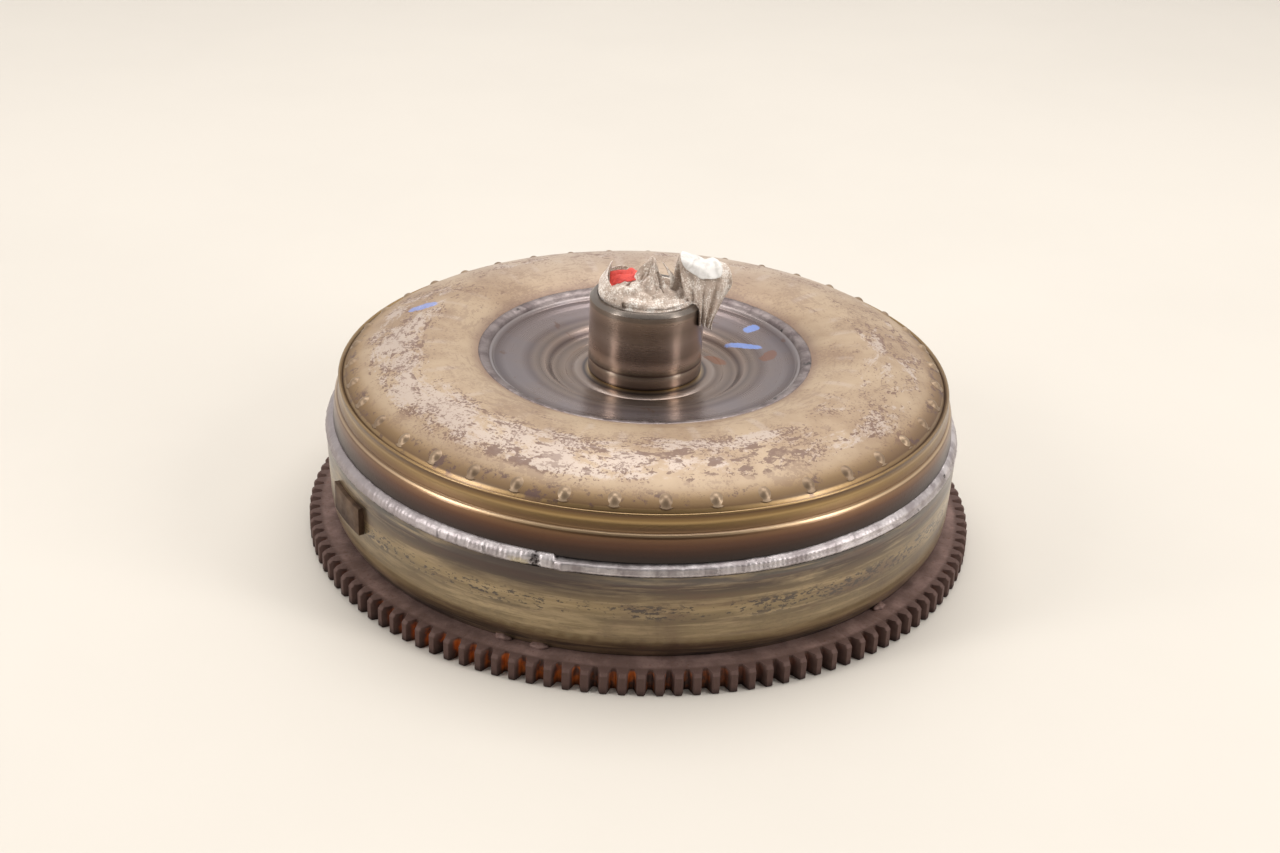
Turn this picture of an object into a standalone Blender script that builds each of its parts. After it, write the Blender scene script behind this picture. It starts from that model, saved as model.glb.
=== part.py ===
"""Torque converter for an automatic gearbox, standing on its flexplate side, pump hub up.

Metres, +Z up along the turning axis, origin on the axis at the height of the ring gear's lower face.
Dimensions below are in millimetres and are multiplied by MM where a shape is made.
"""
import math

import bmesh
import bpy
from mathutils import Matrix

MM = 0.001
GAP = 0.3  # clearance that touching pieces keep

# Ring gear
TOOTH_COUNT = 126
TOOTH_TIP_R = 144.0
TOOTH_ROOT_R = 139.2
TOOTH_TIP_WIDTH = 3.1
TOOTH_ROOT_WIDTH = 4.8
RING_GEAR_HEIGHT = 9.2
RING_SEAT_R = 129.0

# Front cover, which carries the ring gear
COVER_WALL_R = 134.6
COVER_TOP_Z = 46.7
COVER_FACE_Z = 4.0
COVER_THICKNESS = 4.5
COVER_CORNER_R = 16.0
PILOT_HOLE_R = 21.8
PILOT_R = 16.5
PAD_COUNT = 6
PAD_CIRCLE_R = 104.0
PAD_R = 13.0
PAD_HOLE_R = 4.2
WEIGHT_ANGLE_DEG = 210.0
WEIGHT_SPREAD_DEG = 5.5
WEIGHT_THICKNESS = 3.0
WEIGHT_BOTTOM_Z = 27.5
WEIGHT_TOP_Z = 39.5

# Impeller shell: the upper half of the case
SHELL_THICKNESS = 3.5
SKIRT_R = 130.7
SKIRT_BOTTOM_Z = 38.0
BEAD_TOP_Z = 52.1
BEAD_TOP_R = 132.6
LOWER_RIDGE = (130.9, 62.1)
UPPER_RIDGE = (129.2, 71.0)
CREST = (92.0, 82.8)
SHELL_BORE_R = 68.5
SHELL_BORE_Z = 77.0
BLADE_BOSS_COUNT = 41

# Pump hub with its dished flange
HUB_R = 24.15
HUB_BORE_R = 20.5
HUB_TOP_Z = 104.4
HUB_CHAMFER = 2.0
FLANGE_R = 68.2
FLANGE_RIM_Z = 76.8
FLANGE_STEP_R = 43.0
FLANGE_FLOOR_Z = 69.7
FLANGE_UNDERSIDE_Z = 65.0

# Fluid wheels, which face each other across the split plane
SPLIT_Z = 57.0
CORE_INNER_R = 82.0
CORE_OUTER_R = 112.0
TURBINE_VANE_COUNT = 31
STATOR_BLADE_COUNT = 13
TURBINE_HUB_BORE_R = 11.0
TURBINE_HUB_TOP_Z = 44.0
TURBINE_HUB_BOTTOM_Z = 12.8

# Lock-up clutch and damper
PISTON_TRAVEL = 1.2
LINING_THICKNESS = 1.4
SPRING_COUNT = 8
SPRING_CIRCLE_R = 88.0
SPRING_R = 6.5
SPRING_LENGTH = 44.0
SPRING_Z = 24.5
SPRING_PLAY = 0.8
PLATE_CUT_HEIGHT = 20.0
DAMPER_TWIST_DEG = 4.0
RIVET_COUNT = 6
RIVET_CIRCLE_R = 31.0
RIVET_HOLE_R = 2.4

# Stator and its roller clutch
RACE_BOTTOM_Z = 49.0
RACE_TOP_Z = 59.0
OUTER_RACE_R = 39.0
ROLLER_COUNT = 8
ROLLER_R = 2.8
ROLLER_CIRCLE_R = 30.1

SEGMENTS_CASE = 44
SEGMENTS_WHEEL = 32
SEGMENTS_INNER = 24
SEGMENTS_SMALL = 10


def clear_scene():
    for obj in list(bpy.data.objects):
        bpy.data.objects.remove(obj, do_unlink=True)


def make_collection(name):
    made = bpy.data.collections.new(name)
    bpy.context.scene.collection.children.link(made)
    return made


def make_material(name, color, roughness, metallic):
    material = bpy.data.materials.new(name)
    material.use_nodes = True
    shader = material.node_tree.nodes["Principled BSDF"]
    shader.inputs["Base Color"].default_value = (*color, 1.0)
    shader.inputs["Roughness"].default_value = roughness
    shader.inputs["Metallic"].default_value = metallic
    return material


clear_scene()
converter = make_collection("torque_converter")
cutters = make_collection("cutters")

rusty_steel = make_material("rusty_steel", (0.16, 0.09, 0.08), 0.75, 0.4)
tinted_steel = make_material("heat_tinted_steel", (0.42, 0.33, 0.22), 0.45, 0.8)
olive_steel = make_material("olive_steel", (0.36, 0.31, 0.2), 0.5, 0.7)
bright_steel = make_material("bright_steel", (0.45, 0.42, 0.4), 0.25, 1.0)
weld_grey = make_material("weld_grey", (0.42, 0.42, 0.46), 0.6, 0.6)
pressed_steel = make_material("pressed_steel", (0.5, 0.5, 0.5), 0.4, 0.9)
spring_steel = make_material("spring_steel", (0.3, 0.3, 0.33), 0.35, 0.9)
cast_aluminium = make_material("cast_aluminium", (0.65, 0.65, 0.66), 0.45, 0.9)
friction_brown = make_material("friction_brown", (0.3, 0.2, 0.12), 0.9, 0.0)
cotton_rag = make_material("cotton_rag", (0.75, 0.72, 0.68), 0.95, 0.0)


def new_object(name, data, material, collection=None):
    obj = bpy.data.objects.new(name, data)
    (collection or converter).objects.link(obj)
    if material:
        data.materials.append(material)
    return obj


def turned(name, profile, material, segments=SEGMENTS_INNER, collection=None):
    """A profile of (radius, height) points that runs down the outer side, screwed round the Z axis.

    A profile that starts and ends on the axis stays open there; any other one is closed.
    """
    mesh = bpy.data.meshes.new(name)
    points = [(r * MM, 0.0, z * MM) for r, z in profile]
    edges = [(i, i + 1) for i in range(len(points) - 1)]
    if profile[0][0] > 0:
        edges.append((len(points) - 1, 0))
    mesh.from_pydata(points, edges, [])
    obj = new_object(name, mesh, material, collection)
    screw = obj.modifiers.new("turn", "SCREW")
    screw.axis = "Z"
    screw.steps = segments
    screw.render_steps = segments
    screw.use_merge_vertices = True
    screw.merge_threshold = 0.00001
    screw.use_smooth_shade = True
    return obj


def ring(name, inner_r, outer_r, low_z, high_z, material, segments=SEGMENTS_INNER, collection=None):
    profile = [(outer_r, high_z), (outer_r, low_z), (inner_r, low_z), (inner_r, high_z)]
    return turned(name, profile, material, segments, collection)


def circle_points(radius, count):
    turns = [2 * math.pi * i / count for i in range(count)]
    return [(radius * math.cos(a), radius * math.sin(a)) for a in turns]


def extruded(name, outlines, low_z, high_z, material, collection=None):
    """Closed flat outlines, filled and extruded upwards from low_z, as a mesh with welded edges."""
    curve = bpy.data.curves.new(name, "CURVE")
    curve.dimensions = "2D"
    curve.fill_mode = "BOTH"
    curve.extrude = (high_z - low_z) * MM / 2
    for outline in outlines:
        spline = curve.splines.new("POLY")
        spline.points.add(len(outline) - 1)
        for point, (x, y) in zip(spline.points, outline):
            point.co = (x * MM, y * MM, 0.0, 1.0)
        spline.use_cyclic_u = True
    flat = bpy.data.objects.new(name + "_outline", curve)
    converter.objects.link(flat)
    graph = bpy.context.evaluated_depsgraph_get()
    mesh = bpy.data.meshes.new_from_object(flat.evaluated_get(graph))
    bpy.data.objects.remove(flat, do_unlink=True)
    mesh.name = name
    mesh.transform(Matrix.Translation((0.0, 0.0, (low_z + high_z) * MM / 2)))
    solid = bmesh.new()
    solid.from_mesh(mesh)
    bmesh.ops.remove_doubles(solid, verts=solid.verts, dist=0.000001)
    bmesh.ops.recalc_face_normals(solid, faces=solid.faces)
    solid.to_mesh(mesh)
    solid.free()
    mesh.materials.clear()
    return new_object(name, mesh, material, collection)


def solids_mesh(name, matrices, make, material, collection=None):
    """One mesh that holds a primitive for each matrix."""
    mesh = bpy.data.meshes.new(name)
    solid = bmesh.new()
    for matrix in matrices:
        make(solid, matrix)
    solid.to_mesh(mesh)
    solid.free()
    return new_object(name, mesh, material, collection)


def block(solid, matrix):
    bmesh.ops.create_cube(solid, size=1.0, matrix=matrix)


def rod(solid, matrix):
    bmesh.ops.create_cone(
        solid, cap_ends=True, segments=SEGMENTS_SMALL, radius1=1.0, radius2=1.0, depth=1.0, matrix=matrix
    )


def around(angle_deg, radius, z, size, tilt=None):
    """Places a unit primitive of the given size (along radius, tangent, axis) at an angle on a circle."""
    scale = Matrix.Diagonal((size[0] * MM, size[1] * MM, size[2] * MM, 1.0))
    turn = Matrix.Rotation(math.radians(angle_deg), 4, "Z")
    return turn @ Matrix.Translation((radius * MM, 0.0, z * MM)) @ (tilt or Matrix()) @ scale


def boolean(target, other, operation):
    modifier = target.modifiers.new(operation.lower(), "BOOLEAN")
    modifier.operation = operation
    modifier.solver = "EXACT"
    modifier.use_self = operation == "UNION"
    modifier.object = other
    other.hide_render = True
    other.display_type = "WIRE"


def hinge_empty(name):
    """A moving body's parent, standing on the turning axis."""
    empty = bpy.data.objects.new(name, None)
    empty.empty_display_size = 0.02
    converter.objects.link(empty)
    return empty


def carry(empty, pieces):
    for piece in pieces:
        piece.parent = empty


# ---- Case: front cover, ring gear, impeller shell, pump hub ----


def corner_arc(center_r, center_z, radius, start_deg, end_deg, steps):
    angles = [math.radians(start_deg + (end_deg - start_deg) * i / steps) for i in range(steps + 1)]
    return [(center_r + radius * math.cos(a), center_z + radius * math.sin(a)) for a in angles]


def make_front_cover():
    corner_center_r = COVER_WALL_R - COVER_CORNER_R
    corner_center_z = COVER_FACE_Z + COVER_CORNER_R
    inner_r = COVER_WALL_R - COVER_THICKNESS + 1.0
    shoulder = corner_arc(corner_center_r, corner_center_z, COVER_CORNER_R, 0, -38, 2)
    hollow_corner = corner_arc(
        corner_center_r, corner_center_z, COVER_CORNER_R - COVER_THICKNESS, -90, -10, 3
    )
    profile = [(COVER_WALL_R, COVER_TOP_Z)]
    profile += shoulder
    profile += [(RING_SEAT_R, RING_GEAR_HEIGHT + 0.2), (RING_SEAT_R, COVER_FACE_Z + 1.5)]
    profile += [(RING_SEAT_R - 2.5, COVER_FACE_Z), (PILOT_HOLE_R, COVER_FACE_Z)]
    profile += [(PILOT_HOLE_R, COVER_FACE_Z + COVER_THICKNESS)]
    profile += hollow_corner
    profile += [(inner_r, corner_center_z + 3.0), (inner_r, COVER_TOP_Z)]
    return turned("front_cover", profile, olive_steel, SEGMENTS_CASE)


def make_pilot_boss():
    top_z = COVER_FACE_Z + COVER_THICKNESS
    profile = [(0, top_z + 2.5), (13.0, top_z + 2.5), (13.5, top_z), (PILOT_HOLE_R - GAP, top_z)]
    profile += [(PILOT_HOLE_R - GAP, COVER_FACE_Z), (PILOT_R, COVER_FACE_Z - GAP)]
    profile += [(PILOT_R, 1.4), (PILOT_R - 0.8, 0.6), (0, 0.6)]
    return turned("pilot_boss", profile, bright_steel)


def make_drive_pads():
    for i in range(PAD_COUNT):
        pad = ring(f"drive_pad_{i + 1}", PAD_HOLE_R, PAD_R, 0.0, COVER_FACE_Z - GAP, bright_steel, 16)
        turn = 2 * math.pi * i / PAD_COUNT
        pad.location = (PAD_CIRCLE_R * MM * math.cos(turn), PAD_CIRCLE_R * MM * math.sin(turn), 0.0)


def make_ring_gear():
    outline = []
    pitch = 2 * math.pi / TOOTH_COUNT
    half_root = TOOTH_ROOT_WIDTH / 2 / TOOTH_ROOT_R
    half_tip = TOOTH_TIP_WIDTH / 2 / TOOTH_TIP_R
    for i in range(TOOTH_COUNT):
        corners = (
            (TOOTH_ROOT_R, -half_root),
            (TOOTH_TIP_R, -half_tip),
            (TOOTH_TIP_R, half_tip),
            (TOOTH_ROOT_R, half_root),
        )
        outline += [
            (r * math.cos(pitch * i + a), r * math.sin(pitch * i + a)) for r, a in corners
        ]
    bore = circle_points(RING_SEAT_R + 0.6, SEGMENTS_CASE)
    return extruded("ring_gear", [outline, bore], 0.0, RING_GEAR_HEIGHT, rusty_steel)


def make_impeller_shell():
    outer = [
        (SHELL_BORE_R, SHELL_BORE_Z),
        (SHELL_BORE_R, SHELL_BORE_Z - SHELL_THICKNESS),
    ]
    inner_side = [
        (78.0, 77.2),
        (92.0, 79.2),
        (106.0, 77.3),
        (118.0, 72.8),
        (125.6, 66.0),
        (127.2, 55.0),
        (127.2, SKIRT_BOTTOM_Z),
    ]
    outer_side = [
        (SKIRT_R, SKIRT_BOTTOM_Z),
        (SKIRT_R, BEAD_TOP_Z - 3.0),
        (BEAD_TOP_R, BEAD_TOP_Z),
        LOWER_RIDGE,
        (129.9, 63.4),
        UPPER_RIDGE,
        (118.0, 76.3),
        (106.0, 80.9),
        CREST,
        (78.0, 80.9),
    ]
    profile = list(reversed(outer + inner_side + outer_side))
    return turned("impeller_shell", profile, tinted_steel, SEGMENTS_CASE)


def make_closing_weld():
    low = COVER_TOP_Z + GAP
    profile = [(133.0, BEAD_TOP_Z + 0.3), (135.0, 50.2), (135.5, 48.2), (135.2, low), (SKIRT_R + 0.4, low)]
    profile += [(SKIRT_R + 0.4, BEAD_TOP_Z - 2.9)]
    return turned("closing_weld", profile, weld_grey, SEGMENTS_CASE)


def make_pump_hub():
    profile = [
        (HUB_R - HUB_CHAMFER, HUB_TOP_Z),
        (HUB_R, HUB_TOP_Z - HUB_CHAMFER),
        (HUB_R, FLANGE_FLOOR_Z),
        (FLANGE_STEP_R - 3.2, FLANGE_FLOOR_Z),
        (FLANGE_STEP_R, 72.5),
        (FLANGE_R - 4.5, 75.2),
        (FLANGE_R, FLANGE_RIM_Z),
        (FLANGE_R, 72.5),
        (62.0, 71.0),
        (46.0, 68.8),
        (42.0, FLANGE_UNDERSIDE_Z),
        (HUB_BORE_R, FLANGE_UNDERSIDE_Z),
        (HUB_BORE_R, HUB_TOP_Z - 0.8),
        (HUB_BORE_R + 0.5, HUB_TOP_Z),
    ]
    return turned("pump_hub", profile, bright_steel, 36)


def make_hub_weld():
    low = SHELL_BORE_Z + GAP
    profile = [(69.6, low + 1.3), (71.2, low + 1.3), (69.0, low), (66.8, low), (67.2, low + 0.8)]
    return turned("hub_weld", profile, weld_grey, SEGMENTS_CASE)


def make_balance_weight():
    outline = []
    inner_r = COVER_WALL_R + 0.5
    outer_r = COVER_WALL_R + WEIGHT_THICKNESS
    for radius, turns in ((inner_r, (-1, -0.33, 0.33, 1)), (outer_r, (1, 0.33, -0.33, -1))):
        for turn in turns:
            angle = math.radians(WEIGHT_ANGLE_DEG + WEIGHT_SPREAD_DEG * turn)
            outline.append((radius * math.cos(angle), radius * math.sin(angle)))
    return extruded("balance_weight", [outline], WEIGHT_BOTTOM_Z, WEIGHT_TOP_Z, olive_steel)


# ---- Fluid wheels ----


def vane_prism(solid, matrix, outline, thickness):
    """A flat vane in the plane of the axis, as a closed prism."""
    sides = []
    for y in (-thickness / 2, thickness / 2):
        sides.append([solid.verts.new(matrix @ Matrix.Translation((r * MM, y * MM, z * MM)).to_translation())
                      for r, z in outline])
    front, back = sides
    solid.faces.new(front)
    solid.faces.new(list(reversed(back)))
    count = len(outline)
    for i in range(count):
        j = (i + 1) % count
        solid.faces.new((front[j], front[i], back[i], back[j]))


def make_vane_wheel(name, outline, vane_count, core_profile, material):
    core = turned(name, core_profile, material, SEGMENTS_WHEEL)
    matrices = [Matrix.Rotation(2 * math.pi * i / vane_count, 4, "Z") for i in range(vane_count)]
    vanes = solids_mesh(
        name + "_vanes", matrices, lambda solid, m: vane_prism(solid, m, outline, 1.2), None, cutters
    )
    boolean(core, vanes, "UNION")
    return core


def make_impeller_vanes():
    low = SPLIT_Z + 0.6
    outline = [(71.0, low), (124.6, low), (121.0, 68.4), (103.0, 76.9), (82.0, 77.0), (71.0, 73.0)]
    core = [(97.0, 68.5), (108.0, 65.5), (CORE_OUTER_R, low + 0.2), (CORE_INNER_R, low + 0.2), (86.0, 65.5)]
    return make_vane_wheel("impeller_vanes", outline, BLADE_BOSS_COUNT, core, pressed_steel)


def make_turbine_vanes():
    high = SPLIT_Z - 0.6
    outline = [(46.0, 45.4), (79.0, 39.2), (96.0, 37.9), (112.0, 41.6), (119.8, 49.5), (121.2, high)]
    outline += [(66.5, high), (65.5, 47.2), (46.0, 47.0)]
    core = [(CORE_OUTER_R, high - 0.2), (108.0, 48.5), (97.0, 45.5), (86.0, 48.5), (CORE_INNER_R, high - 0.2)]
    return make_vane_wheel("turbine_vanes", outline, TURBINE_VANE_COUNT, core, pressed_steel)


def make_turbine_shell():
    wall = 2.5
    bowl = [(125.5, 56.0), (124.0, 48.0), (114.0, 38.4), (96.0, 34.8), (78.0, 36.0), (50.0, 41.5)]
    bowl += [(24.9, 41.5), (24.9, 44.0)]
    hollow = [(50.0, 44.0), (79.0, 38.5), (96.0, 37.3), (113.0, 40.7), (121.6, 48.8), (125.5 - wall, 56.0)]
    return turned("turbine_shell", bowl + hollow, pressed_steel, SEGMENTS_WHEEL)


def spline_outline(root_r, tip_r, count):
    """A toothed outline: four points for each tooth."""
    points = []
    for i in range(count):
        for radius, share in ((root_r, -0.32), (tip_r, -0.2), (tip_r, 0.2), (root_r, 0.32)):
            angle = 2 * math.pi * (i + share) / count
            points.append((radius * math.cos(angle), radius * math.sin(angle)))
    return points


def make_turbine_hub():
    profile = [
        (24.5, TURBINE_HUB_TOP_Z),
        (24.5, 41.2),
        (40.0, 41.2),
        (40.0, 37.5),
        (23.0, 37.5),
        (23.0, 28.3),
        (38.0, 28.3),
        (38.0, 25.3),
        (21.1, 25.3),
        (21.1, TURBINE_HUB_BOTTOM_Z),
        (TURBINE_HUB_BORE_R, TURBINE_HUB_BOTTOM_Z),
        (TURBINE_HUB_BORE_R, TURBINE_HUB_TOP_Z),
    ]
    hub = turned("turbine_hub", profile, bright_steel)
    outline = spline_outline(13.4, 14.8, 24)
    cutter = extruded("turbine_spline_cutter", [outline], 0.0, 60.0, None, cutters)
    boolean(hub, cutter, "DIFFERENCE")
    return hub


# ---- Lock-up clutch and damper ----


def rivet_angles():
    return [360.0 * i / RIVET_COUNT + 15.0 for i in range(RIVET_COUNT)]


def drill_rivet_holes(plate):
    size = (RIVET_HOLE_R, RIVET_HOLE_R, 30.0)
    matrices = [around(a, RIVET_CIRCLE_R, 27.0, size) for a in rivet_angles()]
    holes = solids_mesh(plate.name + "_holes", matrices, rod, None, cutters)
    boolean(plate, holes, "DIFFERENCE")


def cut_windows(plate, length, play):
    size = (2 * (SPRING_R + play), length, PLATE_CUT_HEIGHT)
    matrices = [around(360.0 * i / SPRING_COUNT, SPRING_CIRCLE_R, SPRING_Z, size) for i in range(SPRING_COUNT)]
    windows = solids_mesh(plate.name + "_windows", matrices, block, None, cutters)
    boolean(plate, windows, "DIFFERENCE")


def make_damper():
    driven = ring("damper_driven_plate", 21.6, 106.0, 22.5, 25.0, pressed_steel, SEGMENTS_WHEEL)
    cut_windows(driven, SPRING_LENGTH + 2.0, SPRING_PLAY)
    drill_rivet_holes(driven)
    twist = math.radians(DAMPER_TWIST_DEG)
    sweep = 2 * (SPRING_CIRCLE_R + SPRING_R) * twist
    swing = SPRING_LENGTH / 2 * math.sin(twist)  # how far a spring's end moves in or out
    profile = [(112.0, 28.1), (112.0, 15.0), (109.6, 15.0), (109.6, 25.6), (76.0, 25.6), (76.0, 28.1)]
    retainer = turned("damper_retainer", profile, pressed_steel, SEGMENTS_WHEEL)
    cut_windows(retainer, SPRING_LENGTH + sweep + 2.4, SPRING_PLAY + swing)
    springs = []
    lying = Matrix.Rotation(math.pi / 2, 4, "X")
    for i in range(SPRING_COUNT):
        place = around(360.0 * i / SPRING_COUNT, SPRING_CIRCLE_R, SPRING_Z, (1, 1, 1), lying)
        size = Matrix.Diagonal((SPRING_R, SPRING_R, SPRING_LENGTH, 1.0))
        springs.append(solids_mesh(f"damper_spring_{i + 1}", [place @ size], rod, spring_steel))
    rivets = []
    for i, angle in enumerate(rivet_angles()):
        profile = [(0, 30.0), (2.6, 30.0), (3.6, 28.6), (2.1, 28.6), (2.1, 22.2), (3.6, 22.2), (2.6, 20.8), (0, 20.8)]
        rivet = turned(f"hub_rivet_{i + 1}", profile, bright_steel, 8)
        turn = math.radians(angle)
        rivet.location = (RIVET_CIRCLE_R * MM * math.cos(turn), RIVET_CIRCLE_R * MM * math.sin(turn), 0.0)
        rivets.append(rivet)
    return driven, retainer, springs, rivets


def make_piston():
    low = COVER_FACE_Z + COVER_THICKNESS + PISTON_TRAVEL + 0.3 + LINING_THICKNESS + GAP
    profile = [
        (121.0, low + 5.5),
        (121.0, low),
        (92.0, low),
        (84.0, low + 1.5),
        (21.6, low + 1.5),
        (21.6, low + 4.0),
        (83.5, low + 4.0),
        (92.5, low + 2.8),
        (118.8, low + 2.8),
        (118.8, low + 5.5),
    ]
    piston = turned("clutch_piston", profile, pressed_steel, SEGMENTS_WHEEL)
    lining_low = low - GAP - LINING_THICKNESS
    lining = ring("friction_lining", 97.0, 117.0, lining_low, lining_low + LINING_THICKNESS, friction_brown,
                  SEGMENTS_WHEEL)
    return piston, lining


# ---- Stator, its roller clutch and the thrust bearings ----


def make_stator():
    wheel = ring("stator_wheel", 39.5, 43.2, 47.8, 60.4, cast_aluminium, SEGMENTS_WHEEL)
    rim = ring("stator_rim", 62.0, 64.2, 50.0, 66.0, None, SEGMENTS_WHEEL, cutters)
    boolean(wheel, rim, "UNION")
    lean = Matrix.Rotation(math.radians(32), 4, "X")
    matrices = [
        around(360.0 * i / STATOR_BLADE_COUNT, 52.5, 55.5, (20.6, 1.8, 12.0), lean)
        for i in range(STATOR_BLADE_COUNT)
    ]
    blades = solids_mesh("stator_blades", matrices, block, None, cutters)
    boolean(wheel, blades, "UNION")
    return wheel


def make_roller_clutch():
    outer = ring("clutch_outer_race", 33.2, OUTER_RACE_R, RACE_BOTTOM_Z, RACE_TOP_Z, bright_steel)
    inner = ring("stator_inner_race", 12.0, 27.0, RACE_BOTTOM_Z, RACE_TOP_Z, bright_steel)
    outline = spline_outline(15.6, 17.2, 30)
    cutter = extruded("stator_spline_cutter", [outline], 40.0, 70.0, None, cutters)
    boolean(inner, cutter, "DIFFERENCE")
    rollers = []
    for i in range(ROLLER_COUNT):
        place = around(360.0 * i / ROLLER_COUNT, ROLLER_CIRCLE_R, 54.0, (ROLLER_R, ROLLER_R, 9.0))
        rollers.append(solids_mesh(f"clutch_roller_{i + 1}", [place], rod, bright_steel))
    front = ring("stator_front_plate", 28.0, OUTER_RACE_R, 47.8, RACE_BOTTOM_Z - GAP, pressed_steel, 24)
    rear = ring("stator_rear_plate", 28.0, OUTER_RACE_R, RACE_TOP_Z + GAP, 60.4, pressed_steel, 24)
    return outer, inner, rollers, front, rear


def make_thrust_bearings():
    front = ring("front_thrust_bearing", 14.3, 20.8, 9.2, 12.0, bright_steel, 24)
    middle = ring("turbine_thrust_bearing", 18.0, 24.0, 44.8, 47.4, bright_steel, 24)
    rear = ring("pump_thrust_bearing", 28.4, 37.0, 61.2, 64.2, bright_steel, 24)
    return front, middle, rear


# ---- Rag that plugs the hub bore ----


def make_rag_plug():
    profile = [(0, 121.5), (7.0, 119.5), (15.0, 114.5), (20.0, 109.0), (20.0, 105.2), (18.2, 104.9), (17.5, 90.0)]
    profile += [(12.0, 86.5), (0, 86.0)]
    plug = turned("rag_plug", profile, cotton_rag, 16)
    fold = Matrix.Translation((0.0215, -0.001, 0.1128)) @ Matrix.Diagonal((0.027, 0.021, 0.0155, 1.0))
    lobe = Matrix.Translation((0.0292, -0.004, 0.0995)) @ Matrix.Diagonal((0.0075, 0.014, 0.017, 1.0))
    folds = solids_mesh("rag_fold", [fold], block, None, cutters)
    hanging = solids_mesh("rag_lobe", [lobe], block, None, cutters)
    boolean(plug, folds, "UNION")
    boolean(plug, hanging, "UNION")
    return plug


make_front_cover()
make_pilot_boss()
make_drive_pads()
make_ring_gear()
make_impeller_shell()
make_closing_weld()
make_pump_hub()
make_hub_weld()
make_balance_weight()
make_impeller_vanes()

turbine_vanes = make_turbine_vanes()
turbine_shell = make_turbine_shell()
turbine_hub = make_turbine_hub()
driven_plate, retainer_plate, damper_springs, hub_rivets = make_damper()
drill_rivet_holes(turbine_hub)
clutch_piston, friction_lining = make_piston()
stator_wheel = make_stator()
outer_race, inner_race, clutch_rollers, front_plate, rear_plate = make_roller_clutch()
front_bearing, middle_bearing, rear_bearing = make_thrust_bearings()
rag_plug = make_rag_plug()

turbine_axis = hinge_empty("turbine_axis")
carry(turbine_axis, [turbine_vanes, turbine_shell, turbine_hub, driven_plate, *damper_springs, *hub_rivets])
damper_axis = hinge_empty("damper_axis")
damper_axis.parent = turbine_axis
carry(damper_axis, [retainer_plate, clutch_piston, friction_lining])
race_axis = hinge_empty("race_axis")
carry(race_axis, [inner_race, middle_bearing])
stator_axis = hinge_empty("stator_axis")
stator_axis.parent = race_axis
carry(stator_axis, [stator_wheel, outer_race, *clutch_rollers, front_plate, rear_plate])
carry(hinge_empty("front_bearing_axis"), [front_bearing])
carry(hinge_empty("rear_bearing_axis"), [rear_bearing])
carry(hinge_empty("rag_axis"), [rag_plug])
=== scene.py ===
import math
import bpy
import bmesh
from mathutils import Matrix, Vector, noise


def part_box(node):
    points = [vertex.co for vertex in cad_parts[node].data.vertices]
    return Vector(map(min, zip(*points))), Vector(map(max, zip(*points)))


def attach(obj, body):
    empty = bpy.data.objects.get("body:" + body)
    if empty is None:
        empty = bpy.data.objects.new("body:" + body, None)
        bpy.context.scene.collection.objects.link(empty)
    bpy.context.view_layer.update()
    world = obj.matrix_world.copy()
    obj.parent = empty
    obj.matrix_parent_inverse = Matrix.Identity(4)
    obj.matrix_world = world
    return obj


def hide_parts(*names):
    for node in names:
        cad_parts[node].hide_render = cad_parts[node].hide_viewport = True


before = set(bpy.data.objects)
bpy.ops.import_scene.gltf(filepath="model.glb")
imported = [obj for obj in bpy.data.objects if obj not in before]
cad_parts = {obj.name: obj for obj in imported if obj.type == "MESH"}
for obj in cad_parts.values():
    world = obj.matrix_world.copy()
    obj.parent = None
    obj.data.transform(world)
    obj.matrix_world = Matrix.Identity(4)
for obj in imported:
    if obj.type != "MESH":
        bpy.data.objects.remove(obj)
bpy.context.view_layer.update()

mm = 0.001
turnedJoin = 1e-7  # points of a turned profile nearer than this are one
turnedSharp = math.radians(38)  # edges steeper than this stay sharp on turned pieces
scene = bpy.context.scene


def linkMesh(name, mesh, material=None):
    piece = bpy.data.objects.new(name, mesh)
    scene.collection.objects.link(piece)
    if material:
        mesh.materials.append(material)
    return piece


def filleted(corners, step=9.0):
    # corners are (r, z) or (r, z, fillet radius) in mm; a fillet becomes an arc of short sides
    out = []
    count = len(corners)
    for i, corner in enumerate(corners):
        here = Vector(corner[:2])
        bend = corner[2] if len(corner) > 2 else 0.0
        if not bend:
            out.append(here)
            continue
        before = (Vector(corners[i - 1][:2]) - here).normalized()
        after = (Vector(corners[(i + 1) % count][:2]) - here).normalized()
        half = before.angle(after) / 2
        reach = bend / math.tan(half)
        centre = here + (before + after).normalized() * bend / math.sin(half)
        start = here + before * reach - centre
        turn = start.angle_signed(here + after * reach - centre)
        pieces = max(2, int(abs(math.degrees(turn)) / step))
        for k in range(pieces + 1):
            out.append(centre + Matrix.Rotation(-turn * k / pieces, 2) @ start)
    return [(p.x, p.y) for p in out]


def smoothStep(a, b, c, d, t):
    # the point at share t of the way from b to c on a Catmull-Rom run
    return 0.5 * ((2 * b) + (c - a) * t + (2 * a - 5 * b + 4 * c - d) * t * t
                  + (3 * b - a - 3 * c + d) * t ** 3)


def smoothRun(points, pieces):
    # a Catmull-Rom run through the points
    out = []
    for i in range(len(points) - 1):
        a = Vector(points[max(0, i - 1)])
        b = Vector(points[i])
        c = Vector(points[i + 1])
        d = Vector(points[min(len(points) - 1, i + 2)])
        for k in range(pieces):
            out.append(tuple(smoothStep(a, b, c, d, k / pieces)))
    out.append(tuple(points[-1]))
    return out


def divided(profile, longest):
    # a closed profile with no side longer than the given length
    out = []
    for i, here in enumerate(profile):
        after = profile[(i + 1) % len(profile)]
        gap = math.dist(here, after)
        pieces = max(1, math.ceil(gap / longest))
        for k in range(pieces):
            t = k / pieces
            out.append((here[0] + (after[0] - here[0]) * t, here[1] + (after[1] - here[1]) * t))
    return out


def polar(r, angle, z):
    # a point in metres from a radius and a height in mm
    return r * mm * math.cos(angle), r * mm * math.sin(angle), z * mm


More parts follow.
